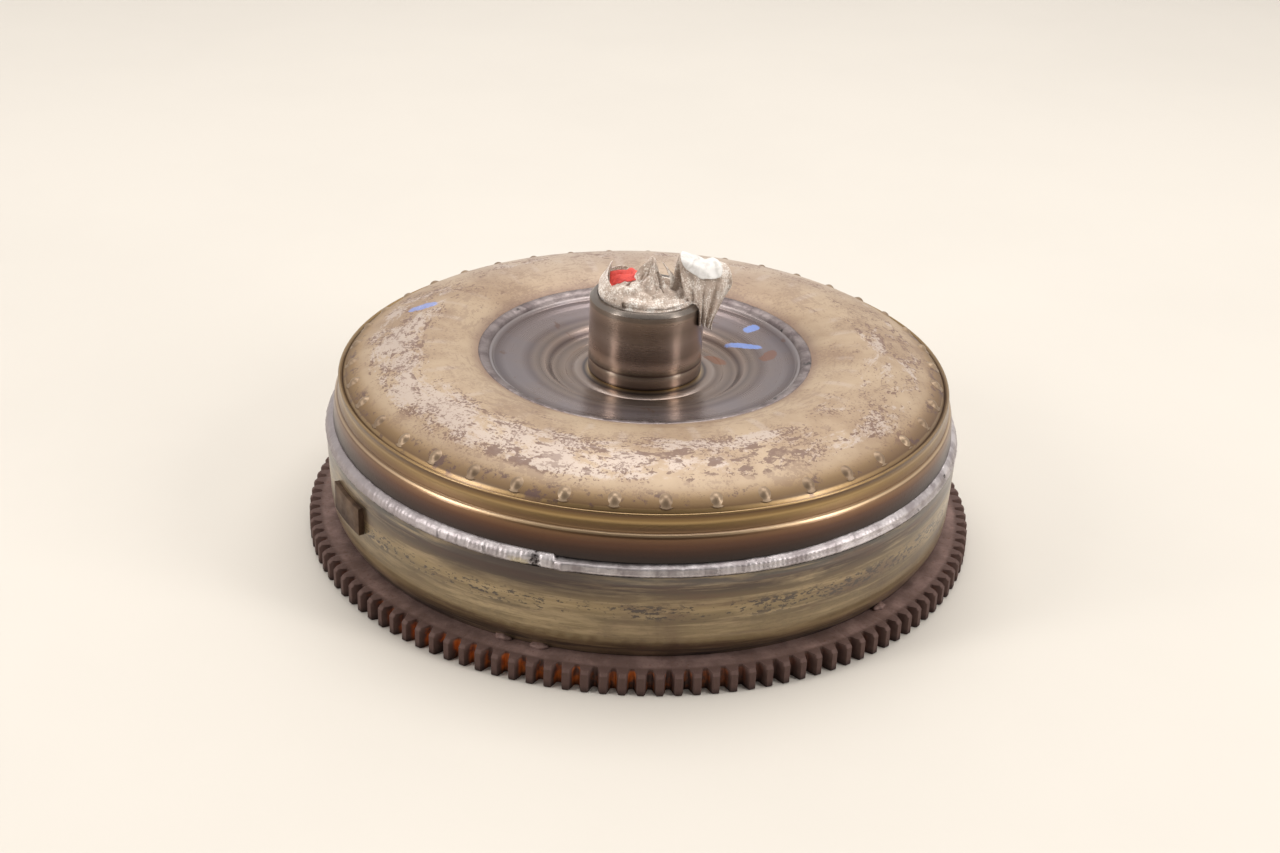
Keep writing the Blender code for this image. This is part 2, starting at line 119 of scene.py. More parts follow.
def meshFrom(work, name):
    mesh = bpy.data.meshes.new(name)
    work.to_mesh(mesh)
    work.free()
    return mesh


def bakedMesh(piece):
    # the piece's mesh with its modifiers carried out
    graph = bpy.context.evaluated_depsgraph_get()
    return bpy.data.meshes.new_from_object(piece.evaluated_get(graph), depsgraph=graph)


def bandMesh(name, stations, sectionAt, joinWithin=0.0):
    # a closed band round the axis; sectionAt(angle) gives its (r, z) points in mm, always as many
    verts = []
    for s in range(stations):
        angle = 2 * math.pi * s / stations
        verts += [polar(r, angle, z) for r, z in sectionAt(angle)]
    size = len(verts) // stations
    faces = []
    for s in range(stations):
        t = (s + 1) % stations
        for i in range(size):
            j = (i + 1) % size
            faces.append((s * size + i, t * size + i, t * size + j, s * size + j))
    mesh = bpy.data.meshes.new(name)
    mesh.from_pydata(verts, [], faces)
    work = bmesh.new()
    work.from_mesh(mesh)
    if joinWithin:
        bmesh.ops.remove_doubles(work, verts=work.verts, dist=joinWithin)
    bmesh.ops.recalc_face_normals(work, faces=work.faces)
    work.to_mesh(mesh)
    work.free()
    mesh.shade_smooth()
    return mesh


def turnedMesh(name, profile, segments, wave=None):
    # a closed (r, z) profile in mm, turned round the axis; wave(angle, r, z) may move a point
    def section(angle):
        return [wave(angle, r, z) for r, z in profile] if wave else profile

    mesh = bandMesh(name, segments, section, turnedJoin)
    mesh.set_sharp_from_angle(angle=turnedSharp)
    return mesh


def ripple(angle, z, turns, size, seed):
    # seamless noise round the axis
    place = Vector((math.cos(angle) * turns, math.sin(angle) * turns, z + seed))
    return noise.noise(place) * size


def addNode(tree, kind, links=None, **values):
    made = tree.nodes.new(kind)
    for key, value in values.items():
        setattr(made, key, value)
    for socket, value in (links or {}).items():
        target = made.inputs[socket]
        if isinstance(value, bpy.types.NodeSocket):
            tree.links.new(value, target)
        else:
            target.default_value = value
    return made


def sumOf(tree, kind, a, b=0.0, c=0.0, clamp=False):
    return addNode(tree, "ShaderNodeMath", {0: a, 1: b, 2: c}, operation=kind, use_clamp=clamp).outputs[0]


def mixOf(tree, factor, a, b):
    # each end is a socket or a plain (r, g, b)
    ends = [(*end, 1) if isinstance(end, tuple) else end for end in (a, b)]
    sockets = {0: factor, 6: ends[0], 7: ends[1]}
    return addNode(tree, "ShaderNodeMix", sockets, data_type="RGBA").outputs[2]


def tinted(tree, color, shade, mask, share):
    # the colour with a share of a shade over it where the mask is
    return mixOf(tree, sumOf(tree, "MULTIPLY", mask, share), color, shade)


def rampOf(tree, factor, stops):
    made = addNode(tree, "ShaderNodeValToRGB", {0: factor})
    while len(made.color_ramp.elements) > 1:
        made.color_ramp.elements.remove(made.color_ramp.elements[-1])
    for i, (place, color) in enumerate(stops):
        stop = made.color_ramp.elements[0] if i == 0 else made.color_ramp.elements.new(place)
        stop.position = place
        stop.color = (*color, 1.0)
    return made.outputs[0]


def spanOf(tree, value, low, high, toLow=0.0, toHigh=1.0, smooth=True):
    kind = "SMOOTHSTEP" if smooth else "LINEAR"
    made = addNode(tree, "ShaderNodeMapRange", {0: value, 1: low, 2: high, 3: toLow, 4: toHigh},
                   interpolation_type=kind)
    return made.outputs[0]


def stripOf(tree, value, low, full, fade, high):
    # 1 from full to fade, and 0 outside low and high
    return sumOf(tree, "MULTIPLY", spanOf(tree, value, low, full), spanOf(tree, value, fade, high, 1.0, 0.0))


def wallColors(tree, height, bands):
    # colours up a wall, each beside its height in mm
    low, high = bands[0][0], bands[-1][0]
    stops = [((z - low) / (high - low), shade) for z, shade in bands]
    return rampOf(tree, spanOf(tree, height, low * mm, high * mm, smooth=False), stops)


def groupTree(name, inputs, outputs, treeKind="ShaderNodeTree"):
    tree = bpy.data.node_groups.new(name, treeKind)
    for label, kind, value in inputs:
        socket = tree.interface.new_socket(label, in_out="INPUT", socket_type="NodeSocket" + kind)
        if value is not None:
            socket.default_value = value
    for label, kind in outputs:
        tree.interface.new_socket(label, in_out="OUTPUT", socket_type="NodeSocket" + kind)
    return tree, tree.nodes.new("NodeGroupInput").outputs, tree.nodes.new("NodeGroupOutput").inputs


def useGroup(tree, group, **values):
    return addNode(tree, "ShaderNodeGroup", values, node_tree=group).outputs


def makeAxisPlace():
    # radius and height about the turning axis, and a point whose pattern runs round it
    tree, given, wanted = groupTree(
        "axisPlace", [("Vector", "Vector", None), ("Stretch", "Float", 0.08)],
        [("Radius", "Float"), ("Height", "Float"), ("Turned", "Vector"), ("Angle", "Float")])
    parts = addNode(tree, "ShaderNodeSeparateXYZ", {0: given["Vector"]}).outputs
    squared = sumOf(tree, "MULTIPLY_ADD", parts[0], parts[0], sumOf(tree, "MULTIPLY", parts[1], parts[1]))
    radius = sumOf(tree, "SQRT", squared)
    angle = sumOf(tree, "ARCTAN2", parts[1], parts[0])
    flat = [sumOf(tree, "MULTIPLY", part, given["Stretch"]) for part in parts[:2]]
    rise = sumOf(tree, "ADD", parts[2], radius)
    turned = addNode(tree, "ShaderNodeCombineXYZ", {0: flat[0], 1: flat[1], 2: rise}).outputs[0]
    for label, value in (("Radius", radius), ("Height", parts[2]), ("Turned", turned), ("Angle", angle)):
        tree.links.new(value, wanted[label])
    return tree


def makeSpeckle():
    # small separate spots, gathered where the slow noise is high
    tree, given, wanted = groupTree(
        "speckle",
        [("Vector", "Vector", None), ("Scale", "Float", 400.0), ("Gather", "Float", 40.0),
         ("Amount", "Float", 0.5), ("Softness", "Float", 0.08)],
        [("Mask", "Float")])
    fine = addNode(tree, "ShaderNodeTexNoise", {
        "Vector": given["Vector"], "Scale": given["Scale"], "Detail": 3.0, "Roughness": 0.65}).outputs[0]
    slow = addNode(tree, "ShaderNodeTexNoise", {
        "Vector": given["Vector"], "Scale": given["Gather"], "Detail": 3.0}).outputs[0]
    both = sumOf(tree, "MULTIPLY_ADD", slow, 0.6, fine)
    start = sumOf(tree, "SUBTRACT", 1.22, sumOf(tree, "MULTIPLY", given["Amount"], 0.55))
    end = sumOf(tree, "ADD", start, given["Softness"])
    made = addNode(tree, "ShaderNodeMapRange", {0: both, 1: start, 2: end}, interpolation_type="SMOOTHSTEP")
    tree.links.new(made.outputs[0], wanted["Mask"])
    return tree


def makeLatheLines():
    # fine turning marks that follow the circumference
    tree, given, wanted = groupTree(
        "latheLines", [("Vector", "Vector", None), ("Scale", "Float", 900.0)], [("Lines", "Float")])
    place = useGroup(tree, axisPlace, Vector=given["Vector"], Stretch=0.004)
    fine = addNode(tree, "ShaderNodeTexNoise", {
        "Vector": place["Turned"], "Scale": given["Scale"], "Detail": 5.0, "Roughness": 0.75}).outputs[0]
    tree.links.new(fine, wanted["Lines"])
    return tree


axisPlace = makeAxisPlace()
speckle = makeSpeckle()
latheLines = makeLatheLines()


class Finish:
    # a material under way: its tree, object coordinates and Principled shader
    def __init__(self, name, **fixed):
        self.material = bpy.data.materials.new(name)
        self.material.use_nodes = True
        self.tree = self.material.node_tree
        self.shader = self.tree.nodes["Principled BSDF"]
        self.spot = self.tree.nodes.new("ShaderNodeTexCoord").outputs["Object"]
        for key, value in fixed.items():
            self.shader.inputs[key.replace("_", " ")].default_value = value

    def grain(self, scale, detail=4.0, rough=0.6, vector=None, distort=0.0):
        return addNode(self.tree, "ShaderNodeTexNoise", {
            "Vector": vector or self.spot, "Scale": scale, "Detail": detail, "Roughness": rough,
            "Distortion": distort}).outputs[0]

    def place(self, stretch):
        # radius, height, angle and turned point here
        return useGroup(self.tree, axisPlace, Vector=self.spot, Stretch=stretch)

    def lathe(self, scale):
        return useGroup(self.tree, latheLines, Vector=self.spot, Scale=scale)["Lines"]

    def specks(self, vector, scale, gather, amount, softness):
        return useGroup(self.tree, speckle, Vector=vector, Scale=scale, Gather=gather, Amount=amount,
                        Softness=softness)["Mask"]

    def along(self, x, y):
        # how far a point lies along a level heading
        return addNode(self.tree, "ShaderNodeVectorMath", {0: self.spot, 1: (x, y, 0.0)},
                       operation="DOT_PRODUCT").outputs["Value"]

    def feed(self, **sockets):
        for key, value in sockets.items():
            self.tree.links.new(value, self.shader.inputs[key.replace("_", " ")])

    def bump(self, height, distance, strength=1.0, normal=None):
        links = {"Height": height, "Distance": distance, "Strength": strength}
        if normal:
            links["Normal"] = normal
        return addNode(self.tree, "ShaderNodeBump", links).outputs[0]


bladeCount = 41
caseLook = {
    "crown": (0.41, 0.305, 0.205), "crownDark": (0.3, 0.205, 0.13), "worn": (0.475, 0.395, 0.35),
    "fleck": (0.15, 0.08, 0.055), "lip": (0.2, 0.12, 0.09), "stain": (0.085, 0.045, 0.045),
    "marker": (0.16, 0.3, 0.75),
}


def markerMask(finish, centre, size, turn):
    # a dab of paint: a stretched round spot with a rough edge
    tree = finish.tree
    mapped = addNode(tree, "ShaderNodeMapping", {
        "Vector": finish.spot, "Location": centre, "Rotation": (0.0, 0.0, turn), "Scale": size},
        vector_type="TEXTURE")
    parts = addNode(tree, "ShaderNodeSeparateXYZ", {0: mapped.outputs[0]}).outputs
    far = sumOf(tree, "SQRT", sumOf(tree, "MULTIPLY_ADD", parts[0], parts[0],
                                    sumOf(tree, "MULTIPLY", parts[1], parts[1])))
    ragged = sumOf(tree, "MULTIPLY_ADD", finish.grain(260.0), 1.1, far)
    return spanOf(tree, ragged, 1.35, 1.55, 1.0, 0.0)


def makeCaseSteel():
    look = caseLook
    finish = Finish("caseSteel", Specular_IOR_Level=0.5, Coat_Roughness=0.22, Coat_IOR=1.6)
    tree = finish.tree
    place = finish.place(0.4)
    cloudy = finish.grain(34.0, 5.0, 0.62)
    crown = mixOf(tree, spanOf(tree, cloudy, 0.35, 0.68), look["crown"], look["crownDark"])
    parts = addNode(tree, "ShaderNodeSeparateXYZ", {0: finish.spot}).outputs
    # painted light: the back half of the crown is made paler with the worn colour
    crown = mixOf(tree, spanOf(tree, parts[1], 0.04, 0.12, 0.0, 0.55), crown, look["worn"])
    # worn light patches on the outer half of the crown, with flecks near their edges
    blotch = finish.grain(95.0, 12.0, 0.78, vector=place["Turned"], distort=0.35)
    onTop = stripOf(tree, place["Radius"], 0.084, 0.101, 0.1145, 0.1205)
    front = sumOf(tree, "MULTIPLY", spanOf(tree, parts[1], 0.0, 0.07, 1.0, 0.55),
                  spanOf(tree, parts[0], 0.0, 0.07, 1.0, 0.7))
    wearBase = sumOf(tree, "MULTIPLY_ADD", sumOf(tree, "MULTIPLY", onTop, front), 0.2, blotch)
    worn = spanOf(tree, wearBase, 0.64, 0.72)
    edge = sumOf(tree, "MULTIPLY", spanOf(tree, wearBase, 0.56, 0.64),
                 spanOf(tree, wearBase, 0.7, 0.8, 1.0, 0.35))
    color = tinted(tree, crown, look["worn"], worn, 0.7)
    # radial marks of the blades over the inner half
    wave = sumOf(tree, "SINE", sumOf(tree, "MULTIPLY", place["Angle"], float(bladeCount)))
    bladeZone = stripOf(tree, place["Radius"], 0.079, 0.084, 0.094, 0.1)
    blade = sumOf(tree, "MULTIPLY", sumOf(tree, "MULTIPLY", spanOf(tree, wave, 0.4, 0.95), bladeZone),
                  spanOf(tree, finish.grain(90.0), 0.42, 0.6))
    color = tinted(tree, color, look["worn"], blade, 0.3)
    # bands down the shoulder and the two steps, each colour beside its height in mm; the thin pale bands at
    # 62.0-62.5 mm and 70.4-71.0 mm are painted highlights along the step edges
    bands = (
        (51.5, (0.02, 0.013, 0.01)), (53.5, (0.03, 0.015, 0.011)), (56.0, (0.05, 0.02, 0.01)),
        (58.5, (0.1, 0.04, 0.016)), (60.8, (0.2, 0.1, 0.045)), (61.7, (0.19, 0.11, 0.055)),
        (62.0, (0.5, 0.34, 0.2)), (62.5, (0.5, 0.36, 0.22)), (62.8, (0.21, 0.12, 0.055)),
        (64.6, (0.2, 0.115, 0.05)), (66.3, (0.28, 0.18, 0.07)), (67.0, (0.38, 0.25, 0.1)),
        (67.8, (0.24, 0.145, 0.05)), (69.8, (0.1, 0.05, 0.018)),
        (70.4, (0.27, 0.17, 0.07)), (71.0, (0.29, 0.185, 0.08)), (71.5, (0.13, 0.07, 0.025)),
        (73.2, (0.2, 0.12, 0.05)), (75.4, (0.3, 0.195, 0.1)), (78.0, look["crown"]),
    )
    wobble = sumOf(tree, "MULTIPLY_ADD", finish.grain(20.0, 3.0), 0.0004,
                   sumOf(tree, "SUBTRACT", place["Height"], 0.0002))
    bandsAndRidgeHighlights = wallColors(tree, wobble, bands)
    streak = finish.grain(120.0, 4.0, 0.6, vector=finish.place(0.05)["Turned"])
    bandsAndRidgeHighlights = mixOf(tree, spanOf(tree, streak, 0.4, 0.7, 0.0, 0.3), bandsAndRidgeHighlights, look["stain"])
    color = mixOf(tree, spanOf(tree, wobble, 0.0735, 0.078), bandsAndRidgeHighlights, color)
    # purple-brown stains between the bosses
    stainZone = stripOf(tree, place["Radius"], 0.1195, 0.1225, 0.1265, 0.1285)
    stainBase = finish.grain(95.0, 7.0, 0.75)
    stain = sumOf(tree, "MULTIPLY", spanOf(tree, stainBase, 0.55, 0.6), stainZone)
    color = tinted(tree, color, look["stain"], stain, 0.75)
    lip = spanOf(tree, place["Radius"], 0.069, 0.0765, 1.0, 0.0)
    color = tinted(tree, color, look["lip"], lip, 0.8)
    spots = finish.specks(finish.spot, 800.0, 70.0, 0.68, 0.07)
    coarse = finish.specks(place["Turned"], 420.0, 60.0, 0.6, 0.05)
    above = spanOf(tree, place["Height"], 0.072, 0.075)
    share = sumOf(tree, "MULTIPLY", sumOf(tree, "MULTIPLY_ADD", edge, 0.6, 0.3), above)
    flecks = sumOf(tree, "MULTIPLY", sumOf(tree, "MAXIMUM", spots, coarse), share, clamp=True)
    color = mixOf(tree, flecks, color, look["fleck"])
    dab = markerMask(finish, (-0.0985, 0.0275, 0.08), (0.0072, 0.0034, 1.0), 0.55)
    color = tinted(tree, color, look["marker"], dab, 0.55)
    lines = finish.lathe(650.0)
    rough = sumOf(tree, "MULTIPLY_ADD", worn, -0.06, sumOf(tree, "MULTIPLY_ADD", blotch, 0.2, 0.43))
    sideWall = spanOf(tree, place["Height"], 0.0708, 0.0716, 1.0, 0.0)
    rough = sumOf(tree, "MULTIPLY_ADD", sideWall, -0.16, rough)
    metal = sumOf(tree, "MULTIPLY_ADD", sideWall, 0.6, 0.3)
    metal = sumOf(tree, "MULTIPLY", metal, sumOf(tree, "SUBTRACT", 1.0, sumOf(tree, "MULTIPLY", flecks, 0.7)))
    bump = finish.bump(finish.grain(900.0, 3.0), 0.00006)
    bump = finish.bump(lines, 0.00006, 0.4, bump)
    bump = finish.bump(flecks, 0.00008, -0.6, bump)
    coat = sumOf(tree, "MULTIPLY_ADD", sideWall, 0.32, 0.06)
    finish.feed(Base_Color=color, Roughness=rough, Metallic=metal, Normal=bump, Coat_Weight=coat)
    return finish.material


coverLook = {
    "olive": (0.3, 0.22, 0.115), "pale": (0.5, 0.38, 0.22), "brown": (0.12, 0.07, 0.05),
    "pit": (0.035, 0.02, 0.014), "cornerShade": (0.05, 0.04, 0.035),
}


def makeCoverSteel():
    look = coverLook
    finish = Finish("coverSteel", Specular_IOR_Level=0.5, Coat_Weight=0.45, Coat_Roughness=0.24, Coat_IOR=1.6)
    tree = finish.tree
    place = finish.place(0.05)
    streak = finish.grain(420.0, 6.0, 0.66, vector=place["Turned"])
    wide = finish.grain(110.0, 5.0, 0.62, vector=finish.place(0.16)["Turned"])
    cloudy = finish.grain(26.0, 5.0)
    wobble = sumOf(tree, "MULTIPLY_ADD", streak, 0.003, sumOf(tree, "SUBTRACT", place["Height"], 0.0015))
    # each colour beside its height in mm; the dark bands on the rounded lower corner (9-14 mm) and just under
    # the bead (40-42.5 mm) are painted shade
    bands = (
        (9.0, (0.025, 0.018, 0.015)), (11.5, look["cornerShade"]), (14.0, (0.12, 0.085, 0.05)),
        (17.5, look["olive"]), (27.0, (0.17, 0.125, 0.07)), (33.0, look["olive"]),
        (37.0, (0.16, 0.115, 0.065)), (40.0, (0.09, 0.065, 0.045)), (42.5, (0.075, 0.05, 0.04)),
        (44.0, (0.12, 0.1, 0.085)), (46.5, (0.07, 0.065, 0.06)),
    )
    color = wallColors(tree, wobble, bands)
    color = mixOf(tree, spanOf(tree, streak, 0.48, 0.7, 0.0, 0.55), color, look["pale"])
    color = mixOf(tree, spanOf(tree, streak, 0.3, 0.46, 0.55, 0.0), color, look["brown"])
    color = mixOf(tree, spanOf(tree, wide, 0.5, 0.66, 0.0, 0.5), color, look["pale"])
    color = mixOf(tree, spanOf(tree, wide, 0.32, 0.45, 0.6, 0.0), color, look["brown"])
    color = mixOf(tree, spanOf(tree, cloudy, 0.5, 0.78, 0.0, 0.5), color, look["brown"])
    # a scorched zone under the place where the weld stops
    scorch = sumOf(tree, "MULTIPLY", spanOf(tree, finish.along(-0.326, -0.945), 0.126, 0.1345),
                   spanOf(tree, sumOf(tree, "MULTIPLY_ADD", cloudy, 0.012, wobble), 0.036, 0.048))
    color = tinted(tree, color, (0.045, 0.027, 0.022), scorch, 0.7)
    # small dark pits drawn out round the axis, most of them in a row at mid height
    flat = finish.place(0.4)["Turned"]
    spots = finish.specks(flat, 900.0, 90.0, 0.66, 0.05)
    row = stripOf(tree, wobble, 0.0265, 0.0295, 0.033, 0.0365)
    pits = sumOf(tree, "MULTIPLY", spots, sumOf(tree, "MULTIPLY_ADD", row, 0.75, 0.15), clamp=True)
    color = mixOf(tree, pits, color, look["pit"])
    face = spanOf(tree, place["Height"], 0.0055, 0.0075, 1.0, 0.0)  # the engine side, dull and rusty
    color = mixOf(tree, face, color, mixOf(tree, cloudy, (0.11, 0.085, 0.07), (0.2, 0.13, 0.09)))
    lines = finish.lathe(520.0)
    rough = sumOf(tree, "MULTIPLY_ADD", streak, 0.3, 0.2)
    metal = sumOf(tree, "SUBTRACT", 0.8, sumOf(tree, "MULTIPLY", pits, 0.7))
    bump = finish.bump(lines, 0.0001, 0.6)
    bump = finish.bump(pits, 0.00012, -0.8, bump)
    bump = finish.bump(finish.grain(700.0, 3.0), 0.00006, 0.7, bump)
    finish.feed(Base_Color=color, Roughness=rough, Metallic=metal, Normal=bump)
    return finish.material


rustLook = {
    "scale": (0.16, 0.1, 0.085), "mauve": (0.26, 0.17, 0.15), "orange": (0.5, 0.13, 0.02),
    "tooth": (0.11, 0.065, 0.055), "brown": (0.13, 0.055, 0.03), "dark": (0.022, 0.014, 0.013),
}


def makeRust():
    look = rustLook
    finish = Finish("ringRust", Specular_IOR_Level=0.35)
    tree = finish.tree
    place = finish.place(1.0)
    cloudy = finish.grain(90.0, 6.0, 0.65)
    fine = finish.grain(650.0, 4.0, 0.7)
    color = mixOf(tree, spanOf(tree, cloudy, 0.38, 0.66), look["scale"], look["mauve"])
    color = mixOf(tree, spanOf(tree, fine, 0.56, 0.72, 0.0, 0.6), color, look["brown"])
    color = mixOf(tree, spanOf(tree, place["Radius"], 0.1375, 0.1395), color, look["tooth"])
    # bright rust between the teeth, most of it on one stretch of the rim
    stretch = spanOf(tree, finish.along(-0.27, -0.96), 0.112, 0.134)
    gap = spanOf(tree, place["Radius"], 0.1425, 0.1405)
    low = spanOf(tree, place["Height"], 0.0088, 0.0075)
    between = sumOf(tree, "MULTIPLY", sumOf(tree, "MULTIPLY", gap, low),
                    spanOf(tree, place["Radius"], 0.1365, 0.1385))
    patch = spanOf(tree, finish.grain(120.0, 3.0), 0.42, 0.6)
    rusty = sumOf(tree, "MULTIPLY_ADD", sumOf(tree, "MULTIPLY", stretch, patch), 0.95,
                  sumOf(tree, "MULTIPLY", patch, 0.12))
    bright = sumOf(tree, "MULTIPLY", between, rusty, clamp=True)
    color = mixOf(tree, bright, color, look["orange"])
    # painted shade: the lowest 3.5 mm, next to the floor, is darkened
    floorShade = spanOf(tree, place["Height"], 0.0, 0.0035, 0.75, 0.0)
    color = mixOf(tree, floorShade, color, look["dark"])
    rough = sumOf(tree, "MULTIPLY_ADD", fine, 0.35, 0.5)
    bump = finish.bump(fine, 0.00022, 0.8)
    bump = finish.bump(cloudy, 0.0004, 0.5, bump)
    metal = sumOf(tree, "SUBTRACT", 0.45, sumOf(tree, "MULTIPLY", bright, 0.45))
    finish.feed(Base_Color=color, Roughness=rough, Metallic=metal, Normal=bump)
    return finish.material


weldLook = {
    "grey": (0.6, 0.555, 0.56), "dull": (0.32, 0.28, 0.285), "scorch": (0.03, 0.022, 0.022),
    "bare": (0.5, 0.44, 0.33),
}


def makeWeldSteel(name, look):
    finish = Finish(name, Specular_IOR_Level=0.5)
    tree = finish.tree
    cloudy = finish.grain(120.0, 4.0)
    fine = finish.grain(800.0, 3.0)
    color = mixOf(tree, spanOf(tree, cloudy, 0.35, 0.65), look["grey"], look["dull"])
    burn = spanOf(tree, finish.grain(70.0, 4.0, 0.7, distort=0.8), 0.63, 0.69)
    # burnt and bare patches beside the place where the closing weld stops
    place = finish.place(1.0)
    for heading, least, low, high, shade in (
        ((-0.3256, -0.9455), 1.0007, 0.0445, 0.0495, "bare"),
        ((-0.279, -0.9603), 1.001, 0.046, 0.0535, "scorch"),
    ):
        cosine = sumOf(tree, "DIVIDE", finish.along(*heading), place["Radius"])
        ragged = sumOf(tree, "MULTIPLY_ADD", fine, 0.0012, cosine)
        ragged = sumOf(tree, "MULTIPLY_ADD", cloudy, 0.0016, ragged)
        zone = sumOf(tree, "MULTIPLY", spanOf(tree, ragged, least, least + 0.0005),
                     stripOf(tree, place["Height"], low, low + 0.001, high - 0.001, high))
        color = mixOf(tree, zone, color, look[shade])
    color = mixOf(tree, burn, color, look["scorch"])
    side = addNode(tree, "ShaderNodeSeparateXYZ", {0: finish.spot}).outputs[0]
    color = mixOf(tree, spanOf(tree, side, -0.115, -0.04, 0.85, 0.0), color, look["dull"])
    rough = sumOf(tree, "MULTIPLY_ADD", fine, 0.3, 0.3)
    bump = finish.bump(finish.grain(500.0, 3.0), 0.0002, 0.8)
    metal = sumOf(tree, "SUBTRACT", 0.8, sumOf(tree, "MULTIPLY", burn, 0.6))
    finish.feed(Base_Color=color, Roughness=rough, Metallic=metal, Normal=bump)
    return finish.material


hubLook = {
    "steel": (0.27, 0.225, 0.18), "oxide": (0.25, 0.185, 0.16), "blue": (0.2, 0.18, 0.205),
    "straw": (0.42, 0.3, 0.17), "bright": (0.21, 0.18, 0.158), "soot": (0.04, 0.028, 0.024),
}


def makeHubSteel():
    look = hubLook
    finish = Finish("hubSteel", Specular_IOR_Level=0.5)
    tree = finish.tree
    place = finish.place(0.02)
    cloudy = finish.grain(30.0, 4.0)
    disc = mixOf(tree, spanOf(tree, cloudy, 0.38, 0.64), look["oxide"], look["blue"])
    # rings from the barrel out to the rim; the dark stop at 0.375, on the rise of the step near 40.7 mm, is
    # painted shade
    stops = [
        (0.0, look["straw"]), (0.04, look["soot"]), (0.07, (0.33, 0.25, 0.2)), (0.12, (0.42, 0.34, 0.29)),
        (0.16, (0.2, 0.145, 0.11)), (0.22, (0.33, 0.25, 0.2)), (0.3, (0.2, 0.15, 0.12)),
        (0.34, (0.3, 0.23, 0.19)), (0.375, (0.08, 0.05, 0.04)), (0.42, (0.36, 0.27, 0.22)),
        (0.47, (0.17, 0.13, 0.11)), (0.52, (0.27, 0.21, 0.18)), (0.58, (0.17, 0.13, 0.125)),
        (0.66, (0.28, 0.235, 0.235)), (0.8, (0.26, 0.22, 0.225)),
        (0.9, (0.12, 0.09, 0.09)), (0.94, (0.38, 0.34, 0.34)), (1.0, (0.12, 0.09, 0.09)),
    ]
    rings = rampOf(tree, spanOf(tree, place["Radius"], 0.0242, 0.0682, smooth=False), stops)
    disc = mixOf(tree, 0.7, disc, rings)
    # colours up the barrel; the alternating pale and dark bands from 0.3 to 0.93 are painted reflection
    barrelBandsAndReflection = [
        (0.0, look["straw"]), (0.025, look["soot"]), (0.06, (0.3, 0.23, 0.19)), (0.19, look["steel"]),
        (0.205, (0.09, 0.06, 0.05)), (0.235, look["steel"]), (0.3, (0.38, 0.31, 0.26)),
        (0.42, (0.22, 0.175, 0.145)), (0.62, (0.33, 0.265, 0.22)), (0.78, (0.24, 0.19, 0.155)),
        (0.93, (0.3, 0.24, 0.2)), (0.95, look["bright"]), (1.0, look["bright"]),
    ]
    barrel = rampOf(tree, spanOf(tree, place["Height"], 0.0697, 0.1026, smooth=False), barrelBandsAndReflection)
    color = mixOf(tree, spanOf(tree, place["Radius"], 0.02425, 0.0244), barrel, disc)
    stain = spanOf(tree, finish.grain(55.0, 4.0, distort=1.2), 0.66, 0.7, 0.0, 0.5)
    color = mixOf(tree, sumOf(tree, "MULTIPLY", stain, spanOf(tree, place["Radius"], 0.026, 0.03)), color,
                  (0.16, 0.08, 0.05))
    dabs = sumOf(tree, "MAXIMUM",
                 markerMask(finish, (0.0435, 0.0195, 0.075), (0.009, 0.0026, 1.0), -0.35),
                 markerMask(finish, (0.0465, 0.0355, 0.075), (0.0042, 0.0032, 1.0), 0.5))
    color = tinted(tree, color, caseLook["marker"], dabs, 0.65)
    smear = sumOf(tree, "MAXIMUM",
                  markerMask(finish, (0.0535, 0.009, 0.075), (0.0035, 0.006, 1.0), -0.5),
                  markerMask(finish, (0.0305, 0.0115, 0.07), (0.003, 0.0065, 1.0), 0.8))
    color = tinted(tree, color, (0.3, 0.11, 0.05), smear, 0.55)
    bore = spanOf(tree, place["Radius"], 0.0208, 0.0206)
    color = mixOf(tree, bore, color, (0.14, 0.11, 0.1))
    lines = finish.lathe(1500.0)
    coarse = finish.lathe(240.0)
    rough = sumOf(tree, "MULTIPLY_ADD", lines, 0.12, sumOf(tree, "MULTIPLY_ADD", cloudy, 0.14, 0.16))
    rough = sumOf(tree, "MULTIPLY_ADD", dabs, 0.3, rough)
    bump = finish.bump(lines, 0.000015, 0.6)
    bump = finish.bump(coarse, 0.00006, 0.4, bump)
    metal = sumOf(tree, "SUBTRACT", 0.98, sumOf(tree, "MULTIPLY", dabs, 0.9))
    grooves = addNode(tree, "ShaderNodeTangent", direction_type="RADIAL", axis="Z").outputs[0]
    finish.shader.inputs["Anisotropic"].default_value = 0.7
    finish.shader.inputs["Anisotropic Rotation"].default_value = 0.25
    finish.feed(Base_Color=color, Roughness=rough, Metallic=metal, Normal=bump, Tangent=grooves)
    return finish.material


def makeMachined(name, base, dull, low, high, metal=0.95):
    # bright turned or pressed steel, aluminium and the like
    finish = Finish(name, Specular_IOR_Level=0.5, Metallic=metal)
    tree = finish.tree
    cloudy = finish.grain(60.0, 4.0)
    color = mixOf(tree, spanOf(tree, cloudy, 0.35, 0.7), base, dull)
    lines = finish.lathe(900.0)
    rough = spanOf(tree, sumOf(tree, "MULTIPLY_ADD", lines, 0.5, cloudy), 0.4, 1.1, low, high)
    bump = finish.bump(lines, 0.00004, 0.6)
    finish.feed(Base_Color=color, Roughness=rough, Normal=bump)
    return finish.material


def makeFriction():
    finish = Finish("frictionPaper", Specular_IOR_Level=0.2, Metallic=0.0)
    tree = finish.tree
    fibre = finish.grain(1400.0, 4.0, 0.7)
    color = mixOf(tree, spanOf(tree, fibre, 0.35, 0.7), (0.2, 0.12, 0.07), (0.34, 0.23, 0.14))
    finish.feed(Base_Color=color, Roughness=spanOf(tree, fibre, 0.3, 0.7, 0.75, 0.95),
                Normal=finish.bump(fibre, 0.0001, 0.6))
    return finish.material


ragLook = {"cloth": (0.96, 0.9, 0.84), "shade": (0.8, 0.71, 0.63), "fleck": (0.36, 0.23, 0.15)}


